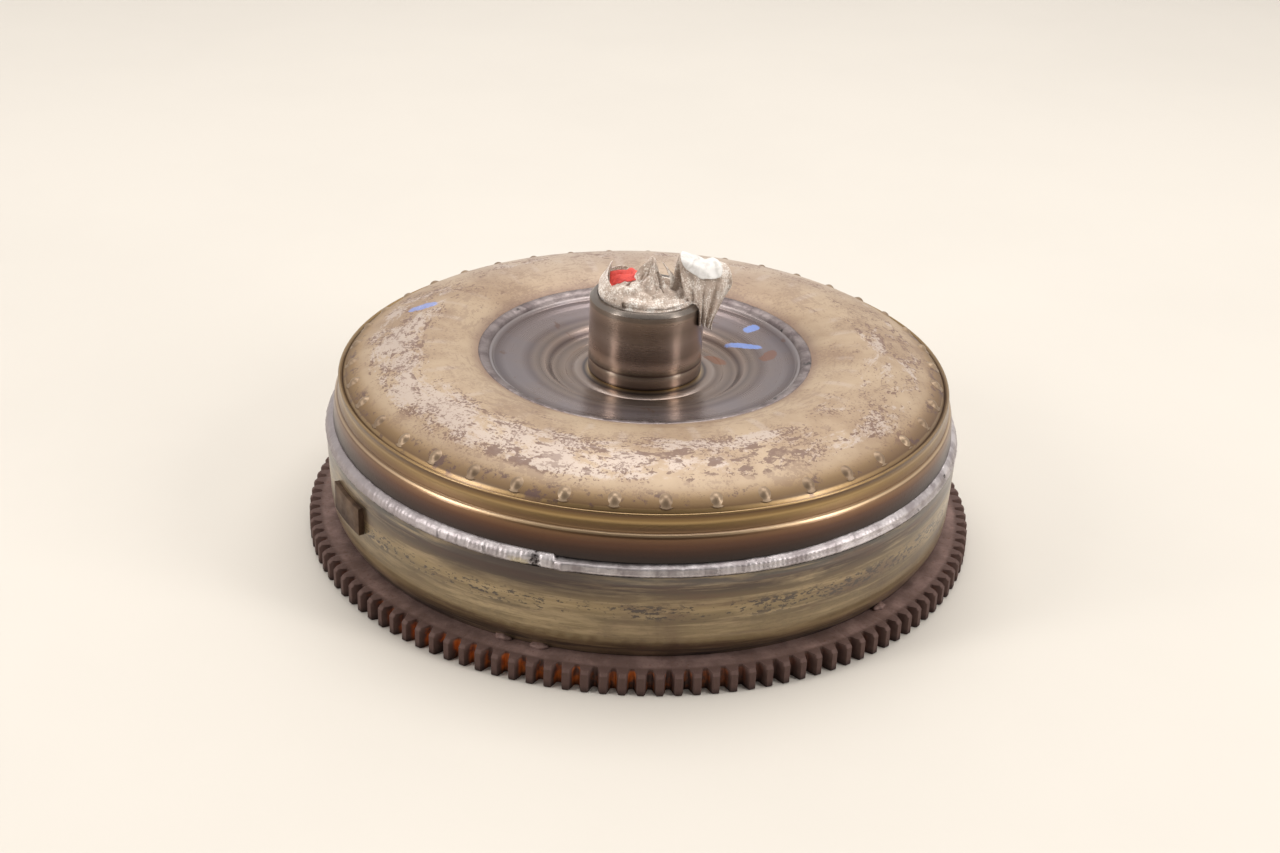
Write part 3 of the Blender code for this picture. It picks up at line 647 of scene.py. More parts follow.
def makeRagCloth():
    look = ragLook
    finish = Finish("ragCloth", Specular_IOR_Level=0.2, Metallic=0.0, Sheen_Weight=0.25, Sheen_Roughness=0.5)
    tree = finish.tree
    flatSpot = addNode(tree, "ShaderNodeUVMap").outputs[0]
    thread = {"Vector": flatSpot, "Scale": 62.0, "Distortion": 1.2, "Detail": 2.0, "Detail Scale": 3.0}
    threads = [addNode(tree, "ShaderNodeTexWave", thread, bands_direction=way).outputs["Fac"] for way in "XY"]
    weave = sumOf(tree, "MULTIPLY", *threads)
    cloudy = finish.grain(120.0, 4.0)
    color = mixOf(tree, spanOf(tree, cloudy, 0.35, 0.75), look["cloth"], look["shade"])
    color = mixOf(tree, spanOf(tree, weave, 0.0, 0.6, 0.28, 0.0), color, look["shade"])
    flecks = finish.specks(finish.spot, 1500.0, 200.0, 0.9, 0.07)
    color = tinted(tree, color, look["fleck"], flecks, 0.62)
    bump = finish.bump(weave, 0.0002, 0.7)
    bump = finish.bump(finish.grain(330.0, 4.0, 0.6, distort=0.8), 0.0011, 0.9, bump)
    finish.feed(Base_Color=color, Roughness=spanOf(tree, cloudy, 0.3, 0.7, 0.8, 0.95), Normal=bump)
    return finish.material


def makeScrap(name, light, shade, rough, sheen):
    finish = Finish(name, Specular_IOR_Level=0.4, Metallic=0.0, Sheen_Weight=sheen)
    tree = finish.tree
    crease = finish.grain(300.0, 4.0, 0.6, distort=0.5)
    color = mixOf(tree, spanOf(tree, crease, 0.4, 0.7), light, shade)
    finish.feed(Base_Color=color, Roughness=spanOf(tree, crease, 0.3, 0.7, rough - 0.08, rough + 0.08),
                Normal=finish.bump(crease, 0.0003, 0.6))
    return finish.material


caseSteel = makeCaseSteel()
coverSteel = makeCoverSteel()
ringRust = makeRust()
weldSteel = makeWeldSteel("weldSteel", weldLook)
hubWeldSteel = makeWeldSteel("hubWeldSteel", {
    **weldLook, "grey": (0.26, 0.22, 0.215), "dull": (0.14, 0.11, 0.11)})
hubSteel = makeHubSteel()
pressedSteel = makeMachined("pressedSteel", (0.5, 0.48, 0.46), (0.36, 0.34, 0.33), 0.3, 0.55)
bearingSteel = makeMachined("bearingSteel", (0.6, 0.6, 0.6), (0.5, 0.5, 0.5), 0.12, 0.3)
springSteel = makeMachined("springSteel", (0.2, 0.2, 0.24), (0.12, 0.12, 0.15), 0.25, 0.45)
castAluminium = makeMachined("castAluminium", (0.7, 0.7, 0.71), (0.55, 0.55, 0.56), 0.4, 0.6)
frictionPaper = makeFriction()
bossSteel = makeMachined("bossSteel", (0.3, 0.215, 0.14), (0.2, 0.135, 0.085), 0.38, 0.52, 0.55)
weightSteel = makeMachined("weightSteel", (0.16, 0.105, 0.07), (0.05, 0.03, 0.025), 0.45, 0.65)
ragCloth = makeRagCloth()
redScrapCloth = makeScrap("redScrapCloth", (0.75, 0.07, 0.05), (0.5, 0.03, 0.025), 0.55, 0.1)
whiteScrapCloth = makeScrap("whiteScrapCloth", (0.74, 0.715, 0.69), (0.55, 0.52, 0.49), 0.6, 0.1)
print("finishes made")


def makeRingRepeat():
    # copies a piece round the axis and joins the copies where they meet
    tree, given, wanted = groupTree(
        "ringRepeat",
        [("Piece", "Object", None), ("Count", "Int", 12), ("First Angle", "Float", 0.0),
         ("Join Within", "Float", 0.0), ("Finish", "Material", None)],
        [("Geometry", "Geometry")], "GeometryNodeTree")
    source = addNode(tree, "GeometryNodeObjectInfo", {"Object": given["Piece"]}, transform_space="ORIGINAL")
    spots = addNode(tree, "GeometryNodePoints", {"Count": given["Count"]})
    index = tree.nodes.new("GeometryNodeInputIndex").outputs[0]
    share = sumOf(tree, "DIVIDE", index, given["Count"])
    angle = sumOf(tree, "MULTIPLY_ADD", share, 2 * math.pi, given["First Angle"])
    turn = addNode(tree, "ShaderNodeCombineXYZ", {2: angle})
    copies = addNode(tree, "GeometryNodeInstanceOnPoints", {
        "Points": spots.outputs[0], "Instance": source.outputs["Geometry"], "Rotation": turn.outputs[0]})
    solid = addNode(tree, "GeometryNodeRealizeInstances", {0: copies.outputs[0]})
    joined = addNode(tree, "GeometryNodeMergeByDistance", {
        "Geometry": solid.outputs[0], "Distance": given["Join Within"]})
    done = addNode(tree, "GeometryNodeSetMaterial", {
        "Geometry": joined.outputs[0], "Material": given["Finish"]})
    tree.links.new(done.outputs[0], wanted["Geometry"])
    return tree


ringRepeat = makeRingRepeat()


def runTree(name, tree, values):
    # builds the tree's result as a plain mesh piece, with no modifier left on it
    holder = linkMesh(name, bpy.data.meshes.new(name + "Base"))
    modifier = holder.modifiers.new("build", "NODES")
    modifier.node_group = tree
    for socket in tree.interface.items_tree:
        if socket.in_out == "INPUT" and socket.name in values:
            modifier[socket.identifier] = values[socket.name]
    mesh = bakedMesh(holder)
    holder.modifiers.remove(modifier)
    holder.data = mesh
    return holder


def repeated(name, mesh, finish, **values):
    source = linkMesh(name + "One", mesh)
    settings = {"Piece": source, "Finish": finish}
    settings.update({key.replace("_", " "): value for key, value in values.items()})
    piece = runTree(name, ringRepeat, settings)
    bpy.data.objects.remove(source, do_unlink=True)
    return piece


ringGearSize = {
    "teeth": 126, "rootRadius": 139.2, "tipWidth": 2.9, "rootWidth": 4.9, "chamfer": 1.3, "boreRadius": 129.7,
    "edge": 0.35, "boreEdge": 0.5, "dent": 0.12, "dentScale": 420.0, "sharp": math.radians(28),
}


def toothSector(size, low, high, tipRadius):
    # one tooth and half a gap on each side, open at both cuts so that the copies join
    pitch = 2 * math.pi / size["teeth"]
    root = size["rootRadius"]
    halfRoot = size["rootWidth"] / 2 / root
    halfTip = size["tipWidth"] / 2 / tipRadius
    middle = (root + tipRadius) / 2
    halfMiddle = (halfRoot + halfTip) / 2 + 0.12 / middle
    edge = size["edge"]
    outline = [(root, -pitch / 2), (root, -halfRoot - 0.5 / root), (root + 0.45, -halfRoot),
               (middle, -halfMiddle), (tipRadius - edge, -halfTip), (tipRadius, -halfTip + edge / tipRadius),
               (tipRadius, 0.0)]
    outline += [(r, -a) for r, a in reversed(outline[:-1])]
    levels = [(low, edge, edge), (low + edge, 0.0, 0.0), (high - size["chamfer"], 0.0, 0.0),
              (high - 0.15, size["chamfer"] * 0.9, 0.25), (high, size["chamfer"] + 1.0, 0.35)]
    work = bmesh.new()
    columns = []
    for z, cut, pinch in levels:
        ring = []
        for r, a in outline:
            over = max(0.0, r - root) / (tipRadius - root)
            inward = r - cut * over
            narrow = a * (1 - pinch * over * 0.25)
            ring.append(work.verts.new(polar(inward, narrow, z)))
        columns.append(ring)
    for lower, upper in zip(columns, columns[1:]):
        for i in range(len(outline) - 1):
            work.faces.new((lower[i], lower[i + 1], upper[i + 1], upper[i]))
    bore, boreEdge = size["boreRadius"], size["boreEdge"]
    shares = [(a / (pitch / 2)) for r, a in outline]
    inner = []
    boreLine = [(low, bore + boreEdge), (low + boreEdge, bore), (high - boreEdge, bore)]
    for z, r in boreLine + [(high, bore + boreEdge)]:
        inner.append([work.verts.new(polar(r, s * pitch / 2, z)) for s in shares])
    rows = [columns[0]] + inner + [columns[-1]]
    for lower, upper in zip(rows, rows[1:]):
        for i in range(len(outline) - 1):
            work.faces.new((lower[i + 1], lower[i], upper[i], upper[i + 1]))
    bmesh.ops.recalc_face_normals(work, faces=work.faces)
    outside = max(work.faces, key=lambda f: f.calc_center_median().x)
    if outside.normal.x < 0:
        bmesh.ops.reverse_faces(work, faces=work.faces)
    return meshFrom(work, "toothSector")


def makeRingGear():
    size = ringGearSize
    lowest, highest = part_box("ring_gear")
    sector = toothSector(size, lowest.z / mm, highest.z / mm, highest.x / mm)
    piece = repeated("ringGear", sector, ringRust, Count=size["teeth"], Join_Within=0.00002)
    for vert in piece.data.vertices:  # small dents from rust and use, kept off the lower face
        if vert.co.z > 0.5 * mm:
            dent = noise.noise(vert.co * size["dentScale"]) * size["dent"] * mm
            flat = Vector((vert.co.x, vert.co.y, 0)).normalized()
            vert.co += flat * min(0.0, dent)
    piece.data.shade_smooth()
    piece.data.set_sharp_from_angle(angle=size["sharp"])
    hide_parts("ring_gear")
    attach(piece, "housing")


makeRingGear()
print("ring gear made")


coverSize = {
    "wall": 134.6, "topZ": 46.7, "faceZ": 4.0, "seat": 129.0, "hole": 21.8, "insideZ": 8.5, "bend": 11.3,
    "segments": 384,
}


def makeCover():
    size = coverSize
    wall, hole, inner = size["wall"], size["hole"], size["wall"] - 3.5
    outside = [(wall + 0.5, size["topZ"]), (wall + 0.6, 40.0, 12), (wall + 0.05, 27.0, 20)]
    outside += [(wall - 0.2, 20.0, 8), (wall - 0.9, 15.0, 9), (wall - 4.2, 9.5)]
    outside += [(size["seat"], 9.4), (size["seat"], 5.5), (size["seat"] - 2.5, size["faceZ"], 3)]
    face = [(118.0, 4.0, 3), (115.0, 5.0, 3), (92.0, 5.0, 3), (89.0, 4.0, 3)]
    face += [(50.0, 4.0, 3), (47.0, 5.2, 3), (30.0, 5.2, 2), (27.5, 4.0, 2), (hole, 4.0)]
    inside = [(hole, size["insideZ"]), (inner - 0.7, size["insideZ"], size["bend"]), (inner, 23.5)]
    inside += [(inner, size["topZ"])]
    profile = divided(filleted(outside + face + inside, 8.0), 4.0)

    def wave(angle, r, z):
        onWall = 1.0 if r > wall - 3 and z > 11 else 0.0
        return r + onWall * (ripple(angle, z * 0.03, 2.2, 0.22, 3.0) - 0.12), z

    piece = linkMesh("frontCover", turnedMesh("frontCover", profile, size["segments"], wave), coverSteel)
    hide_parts("front_cover")
    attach(piece, "housing")


makeCover()
print("front cover made")


caseSize = {"skirt": 130.7, "skirtZ": 38.0, "beadZ": 51.6, "beadR": 132.5, "segments": 360}
bossSize = {
    "count": bladeCount, "radius": 123.6, "height": 73.7, "width": 2.8, "length": 3.0, "rise": 1.35,
    "lean": 33.0, "first": 2.42, "around": 18, "rings": 7, "skirt": 1.45, "under": 1.2,
}


def makeImpellerShell():
    size = caseSize
    crown = smoothRun([
        (68.5, 77.0), (72.5, 79.2), (78.0, 81.2), (85.0, 82.6), (92.0, 83.0), (99.0, 82.6), (106.0, 81.2),
        (112.5, 79.2), (118.5, 76.7), (122.8, 74.4), (125.8, 72.2), (127.4, 70.4)], 5)
    steps = [(127.9, 69.9, 0.3), (128.6, 70.4, 0.35), (129.3, 70.9, 0.5), (129.75, 70.1, 0.6),
             (129.35, 68.2, 2), (129.3, 66.3, 2), (130.15, 63.6, 0.8), (130.0, 62.9, 0.3), (130.8, 62.5, 0.5),
             (131.5, 61.2, 1.2), (131.9, 58.6, 3), (132.2, 54.5, 3), (size["beadR"], size["beadZ"]),
             (size["skirt"], 49.2), (size["skirt"], size["skirtZ"])]
    inside = [(127.2, size["skirtZ"]), (127.2, 55.0, 6), (125.6, 66.0, 8), (118.0, 72.8, 20),
              (106.0, 77.3, 20), (92.0, 79.2, 20), (78.0, 77.2, 10), (68.5, 73.5)]
    profile = divided(crown + filleted(steps, 14.0) + filleted(inside, 14.0), 4.0)

    def wave(angle, r, z):
        return r + ripple(angle, z * 0.02, 1.7, 0.12, 8.0), z + ripple(angle, r * 0.02, 1.9, 0.18, 5.0)

    piece = linkMesh("impellerShell", turnedMesh("impellerShell", profile, size["segments"], wave), caseSteel)
    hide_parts("impeller_shell")
    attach(piece, "housing")


def makeBoss(size):
    # a low oval dome whose skirt runs out under the surface it stands on
    around, rings = size["around"], size["rings"]
    slope = math.radians(size["lean"])
    centre = Vector((size["radius"], 0.0, size["height"]))
    along = Vector((math.cos(slope), 0.0, -math.sin(slope)))
    up = Vector((math.sin(slope), 0.0, math.cos(slope)))
    side = Vector((0.0, 1.0, 0.0))
    work = bmesh.new()
    top = work.verts.new((centre + up * size["rise"]) * mm)
    loops = []
    for k in range(1, rings + 1):
        reach = size["skirt"] * k / rings
        height = size["rise"] * math.exp(-2.4 * reach ** 3.2) - 0.16 * reach
        loop = []
        for i in range(around):
            turn = 2 * math.pi * i / around
            spot = centre + along * (reach * size["length"] * math.cos(turn))
            spot += side * (reach * size["width"] * math.sin(turn)) + up * height
            loop.append(work.verts.new(spot * mm))
        loops.append(loop)
    for i in range(around):
        work.faces.new((top, loops[0][i], loops[0][(i + 1) % around]))
    for inner, outer in zip(loops, loops[1:]):
        for i in range(around):
            j = (i + 1) % around
            work.faces.new((inner[i], outer[i], outer[j], inner[j]))
    bottom = work.verts.new((centre - up * size["under"]) * mm)
    for i in range(around):
        work.faces.new((bottom, loops[-1][(i + 1) % around], loops[-1][i]))
    bmesh.ops.recalc_face_normals(work, faces=work.faces)
    return meshFrom(work, "bladeBoss")


def makeBosses():
    piece = repeated("bladeBosses", makeBoss(bossSize), bossSteel, Count=bossSize["count"],
                     First_Angle=math.radians(bossSize["first"]))
    piece.data.shade_smooth()
    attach(piece, "housing")


makeImpellerShell()
makeBosses()
print("impeller shell made")


beadSize = {"lowZ": 46.2, "topZ": 52.2, "stop": math.radians(256.6), "stations": 1500}


def makeClosingWeld():
    low, top = beadSize["lowZ"], beadSize["topZ"]

    def section(angle):
        # turned is the way round from the place where the weld starts and stops
        turned = (angle - beadSize["stop"]) % (2 * math.pi)
        rough = min(1.0, max(0.0, (turned - math.radians(150)) / math.radians(40)))  # the coarser run
        lump = ripple(angle, 0.0, 60.0, 0.35 + 0.3 * rough, 1.0)
        scale = 0.09 * math.sin(angle * 420 + 2.5 * noise.noise(Vector((angle * 9.0, 0, 3.0))))
        swell = 0.8 * math.exp(-((turned - math.radians(1.6)) / math.radians(0.9)) ** 2)
        swell -= 0.7 * math.exp(-((turned - math.radians(357.0)) / math.radians(2.2)) ** 2)
        body = 0.35 * rough + lump * 0.5 + scale + swell
        groove = 0.42 * (1.0 - 0.8 * rough)
        slim = 1.5 * max(0.0, 1.0 - turned / math.radians(48)) ** 0.6
        rise = ripple(angle, 1.0, 45.0, 0.5, 6.0)
        return [(130.8, low), (134.4 + 0.3 * body, low + 0.1 + 0.2 * rise), (135.1 + body, low + 1.0),
                (135.35 + body, low + 1.9), (134.9 + body - groove, low + 2.7),
                (134.85 + body, low + 3.4 + 0.2 * rise),
                (134.3 + body * 0.8 - 0.5 * slim, low + 4.4 + 0.3 * rise - 0.3 * slim),
                (133.4 + body * 0.4 - 0.5 * slim, top - 0.6 + 0.5 * rise - slim),
                (132.2 - 0.2 * slim, top - 0.1 + 0.4 * rise - slim), (130.8, top - 0.9 - slim)]

    mesh = bandMesh("closingWeld", beadSize["stations"], section)
    piece = linkMesh("closingWeld", mesh, weldSteel)
    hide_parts("closing_weld")
    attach(piece, "housing")


hubBeadStations = 700


def makeHubWeld():
    def section(angle):
        front = max(0.0, math.cos(angle - math.radians(255)))
        lump = ripple(angle, 0.0, 26.0, 0.5, 21.0) * (0.5 + 0.9 * front)
        fine = ripple(angle, 0.0, 90.0, 0.3, 4.0)
        tall = 1.25 + lump + fine
        return [(65.9, 75.6), (66.2, 76.4 + 0.2 * fine), (67.2 + 0.4 * lump, 77.0 + 0.6 * tall),
                (68.6 + 0.5 * fine, 77.1 + 0.75 * tall), (70.0 + 0.6 * lump, 77.9 + 0.5 * tall),
                (71.3 + 0.6 * lump, 78.3), (71.0, 77.2), (68.6, 76.0)]

    piece = linkMesh("hubWeld", bandMesh("hubWeld", hubBeadStations, section), hubWeldSteel)
    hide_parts("hub_weld")
    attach(piece, "housing")


makeClosingWeld()
makeHubWeld()
print("welds made")


hubSize = {"radius": 24.15, "bore": 20.5, "topZ": 104.4, "chamfer": 1.6, "floorZ": 69.7, "segments": 288}


def makePumpHub():
    size = hubSize
    r, bore, top, floor = size["radius"], size["bore"], size["topZ"], size["floorZ"]
    profile = [(bore + 0.5, top), (r - size["chamfer"], top, 0.15), (r, top - size["chamfer"], 0.2)]
    profile += [(r, floor + 7.3), (r - 0.12, floor + 7.1), (r - 0.12, floor + 6.7), (r, floor + 6.5)]
    profile += [(r, floor + 1.2), (r - 0.35, floor + 0.9), (r - 0.35, floor + 0.2), (r + 0.5, floor - 0.1)]
    profile += [(30.2, floor - 0.1), (30.6, floor - 0.4, 0.2), (33.4, floor - 0.4, 0.2), (33.9, floor, 0.2)]
    profile += [(39.3, floor + 0.1, 0.8), (40.6, floor + 1.2, 0.8), (42.6, floor + 2.6, 1.0)]
    profile += [(44.6, floor + 3.1, 2.0), (52.0, floor + 3.9, 4), (59.0, floor + 4.6, 3)]
    profile += [(61.5, floor + 5.4, 1.2), (64.4, floor + 5.6, 0.8), (65.3, floor + 6.6, 0.5), (68.2, 76.8)]
    profile += [(68.2, 72.5), (62.0, 71.0), (46.0, 68.8), (42.0, 65.0), (bore, 65.0), (bore, top - 0.8)]
    mesh = turnedMesh("pumpHub", divided(filleted(profile, 14.0), 5.0), size["segments"])
    piece = linkMesh("pumpHub", mesh, hubSteel)
    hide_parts("pump_hub")
    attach(piece, "housing")


makePumpHub()
print("pump hub made")


plateSize = {
    "middle": 210.0, "spread": 5.5, "lowZ": 27.5, "highZ": 39.5, "inner": 134.75, "outer": 137.5,
    "columns": 14, "rows": 8, "dent": 0.45, "dents": ((4, 5), (10, 5), (7, 3)), "edge": 0.45,
}


def makeBalanceWeight():
    size = plateSize
    columns, rows = size["columns"], size["rows"]
    work = bmesh.new()
    front, back = [], []
    for i in range(columns + 1):
        for j in range(rows + 1):
            a = math.radians(size["middle"] + size["spread"] * (2 * i / columns - 1))
            z = size["lowZ"] + (size["highZ"] - size["lowZ"]) * j / rows
            edge = min(i, columns - i, j, rows - j)
            dents = [math.exp(-((i - u) ** 2 * 1.3 + (j - v) ** 2 * 1.3)) for u, v in size["dents"]]
            outer = size["outer"] - (size["edge"] if edge == 0 else 0.0) - size["dent"] * sum(dents)
            front.append(work.verts.new(polar(outer, a, z)))
            back.append(work.verts.new(polar(size["inner"], a, z)))
    step = rows + 1
    for i in range(columns):
        for j in range(rows):
            k = i * step + j
            work.faces.new((front[k], front[k + step], front[k + step + 1], front[k + 1]))
            work.faces.new((back[k], back[k + 1], back[k + step + 1], back[k + step]))
    rim = [i * step for i in range(columns + 1)] + [columns * step + j for j in range(1, step)]
    rim += [i * step + rows for i in range(columns - 1, -1, -1)] + [j for j in range(rows - 1, 0, -1)]
    for a, b in zip(rim, rim[1:] + rim[:1]):
        work.faces.new((front[a], back[a], back[b], front[b]))
    bmesh.ops.recalc_face_normals(work, faces=work.faces)
    mesh = meshFrom(work, "balanceWeight")
    mesh.shade_smooth()
    mesh.set_sharp_from_angle(angle=math.radians(50))
    piece = linkMesh("balanceWeight", mesh, weightSteel)
    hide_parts("balance_weight")
    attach(piece, "housing")


def makePads():
    middle = (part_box("drive_pad_1")[0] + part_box("drive_pad_1")[1]) / 2 / mm
    pad = [(4.2, 3.7), (12.6, 3.7, 0.3), (13.0, 3.3, 0.3), (13.0, 0.9), (12.2, 0.0), (5.2, 0.0), (4.2, 0.9)]
    threads = [(4.2 if k % 2 else 4.6, 0.9 + 0.35 * k) for k in range(1, 8)]
    mesh = turnedMesh("drivePad", filleted(pad, 20.0) + threads, 48)
    mesh.transform(Matrix.Translation(Vector((middle.x, 0, 0)) * mm))
    piece = repeated("drivePads", mesh, pressedSteel, Count=6)
    piece.data.shade_smooth()
    piece.data.set_sharp_from_angle(angle=math.radians(35))
    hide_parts(*[f"drive_pad_{i}" for i in range(1, 7)])
    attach(piece, "housing")


tackSize = {
    "angles": (247.5, 254.1, 33.0, 96.0, 160.0, 318.0), "radius": 131.4, "height": 9.4,
    "half": (0.0022, 0.0034, 0.0016),
}


def makeTacks():
    # small weld blobs that hold the ring gear
    work = bmesh.new()
    for k, degrees in enumerate(tackSize["angles"]):
        a = math.radians(degrees)
        place = Matrix.Translation(polar(tackSize["radius"], a, tackSize["height"]))
        shape = Matrix.Diagonal((*tackSize["half"], 1.0))
        made = bmesh.ops.create_icosphere(work, subdivisions=3, radius=1.0,
                                          matrix=place @ Matrix.Rotation(a, 4, "Z") @ shape)
        for vert in made["verts"]:
            lump = 0.35 * noise.noise(vert.co * 600.0 + Vector((k, 0, 0)))
            vert.co += (vert.co - place.to_translation()) * lump
    mesh = meshFrom(work, "tackWelds")
    mesh.shade_smooth()
    piece = linkMesh("tackWelds", mesh, ringRust)
    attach(piece, "housing")


makeBalanceWeight()
makePads()
makeTacks()
print("weights and pads made")


springSize = {"wire": 1.35, "turns": 8.0}


def makeCoilTree():
    tree, given, wanted = groupTree(
        "coilSpring",
        [("Coil Radius", "Float", 0.005), ("Length", "Float", 0.04), ("Turns", "Float", 8.0),
         ("Wire", "Float", 0.001), ("Finish", "Material", None)],
        [("Geometry", "Geometry")], "GeometryNodeTree")
    coil = addNode(tree, "GeometryNodeCurveSpiral", {
        "Resolution": 22, "Rotations": given["Turns"], "Start Radius": given["Coil Radius"],
        "End Radius": given["Coil Radius"], "Height": given["Length"]})
    wire = addNode(tree, "GeometryNodeCurvePrimitiveCircle", {"Resolution": 8, "Radius": given["Wire"]})
    tube = addNode(tree, "GeometryNodeCurveToMesh", {
        "Curve": coil.outputs[0], "Profile Curve": wire.outputs[0], "Fill Caps": True})
    solid = addNode(tree, "GeometryNodeRealizeInstances", {0: tube.outputs[0]})
    done = addNode(tree, "GeometryNodeSetMaterial", {
        "Geometry": solid.outputs[0], "Material": given["Finish"]})
    tree.links.new(done.outputs[0], wanted["Geometry"])
    return tree


def makeSprings():
    lowest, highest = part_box("damper_spring_1")
    outer = (highest.x - lowest.x) / 2
    wire = springSize["wire"] * mm
    length = highest.y - lowest.y - 2 * wire
    coil = runTree("springCoil", makeCoilTree(), {
        "Coil Radius": outer - wire, "Length": length, "Turns": springSize["turns"], "Wire": wire,
        "Finish": springSteel})
    centre = (lowest + highest) / 2
    mesh = coil.data
    mesh.transform(Matrix.Translation(centre) @ Matrix.Rotation(math.pi / 2, 4, "X")
                   @ Matrix.Translation((0, 0, -length / 2)))
    bpy.data.objects.remove(coil, do_unlink=True)
    piece = repeated("damperSprings", mesh, springSteel, Count=8)
    piece.data.shade_smooth()
    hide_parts(*[f"damper_spring_{i}" for i in range(1, 9)])
    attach(piece, "turbine")


makeSprings()
print("damper springs made")


keptFinish = (
    (pressedSteel, ("impeller_vanes", "turbine_shell", "turbine_vanes", "damper_driven_plate",
                    "damper_retainer", "clutch_piston", "stator_front_plate", "stator_rear_plate")),
    (bearingSteel, ("pilot_boss", "turbine_hub", "stator_inner_race", "clutch_outer_race",
                    "front_thrust_bearing", "turbine_thrust_bearing", "pump_thrust_bearing",
                    *[f"hub_rivet_{i}" for i in range(1, 7)], *[f"clutch_roller_{i}" for i in range(1, 9)])),
    (castAluminium, ("stator_wheel",)),
    (frictionPaper, ("friction_lining",)),
)
for material, nodes in keptFinish:
    for node in nodes:
        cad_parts[node].material_slots[0].material = material
print("kept pieces finished")


# a groove is where it starts, how far out it runs and how deep it is, in mm; weave is UV to a metre of cloth
ragSize = {
    "around": 168, "along": 60, "thick": 0.5, "partThick": 0.4, "flat": (0.07, 0.07), "weave": 12,
    "grooves": ((3.5, 12.0, 2.6), (9.5, 9.5, 1.9), (1.5, 6.5, 1.6)), "steps": 10, "growth": 0.07,
}


def bell(value, middle, width):
    return math.exp(-((value - middle) / width) ** 2)


def turnBell(angle, degrees, width):
    # a bump round the axis, with its width in degrees
    away = (math.degrees(angle) - degrees + 180) % 360 - 180
    return math.exp(-(away / width) ** 2)


def ragPath(angle):
    # (radius, height) points from the middle of the cloth to its hem in the bore, in mm
    swell = turnBell(angle, 222, 32)  # the round fold at the front left
    back = turnBell(angle, 95, 60)
    right = turnBell(angle, 350, 45)
    path = [(0.0, 121.0), (1.6, 118.6), (3.4, 115.0), (5.6 + 1.2 * swell, 112.0 + 1.2 * back),
            (9.0 + swell, 109.6 + 4.2 * swell + 1.5 * back),
            (13.0 + swell, 108.4 + 4.8 * swell + 2.0 * right),
            (17.0 + 0.6 * swell, 107.0 + 3.4 * swell), (19.6, 104.8 + 0.6 * swell), (20.0, 102.4),
            (19.8, 98.0), (19.0, 93.0), (16.0, 89.0), (12.0, 87.2), (8.5, 88.5)]
    return smoothRun(path, 4)


def clearHub(spot):
    # moves a point of cloth out of the hub's wall
    flat = math.hypot(spot.x, spot.y)
    if spot.z < 105.1 and 20.0 < flat < 24.8:
        want = 20.0 if flat < 21.2 else 24.8
        spot = Vector((spot.x * want / flat, spot.y * want / flat, spot.z))
    return spot


def sheetGrid(name, columns, rows, placeAt, flat, finish):
    # a cloth piece from placeAt(u, v) in mm, with its flat cut as UV
    work = bmesh.new()
    layer = work.loops.layers.uv.new("flat")
    grid = [[work.verts.new(clearHub(placeAt(i / columns, j / rows)) * mm) for j in range(rows + 1)]
            for i in range(columns + 1)]
    for i in range(columns):
        for j in range(rows):
            corners = ((i, j), (i + 1, j), (i + 1, j + 1), (i, j + 1))
            face = work.faces.new([grid[a][b] for a, b in corners])
            for loop, (a, b) in zip(face.loops, corners):
                spot = (a / columns * flat[0], b / rows * flat[1])
                loop[layer].uv = [value * ragSize["weave"] for value in spot]
    return linkMesh(name, meshFrom(work, name), finish)


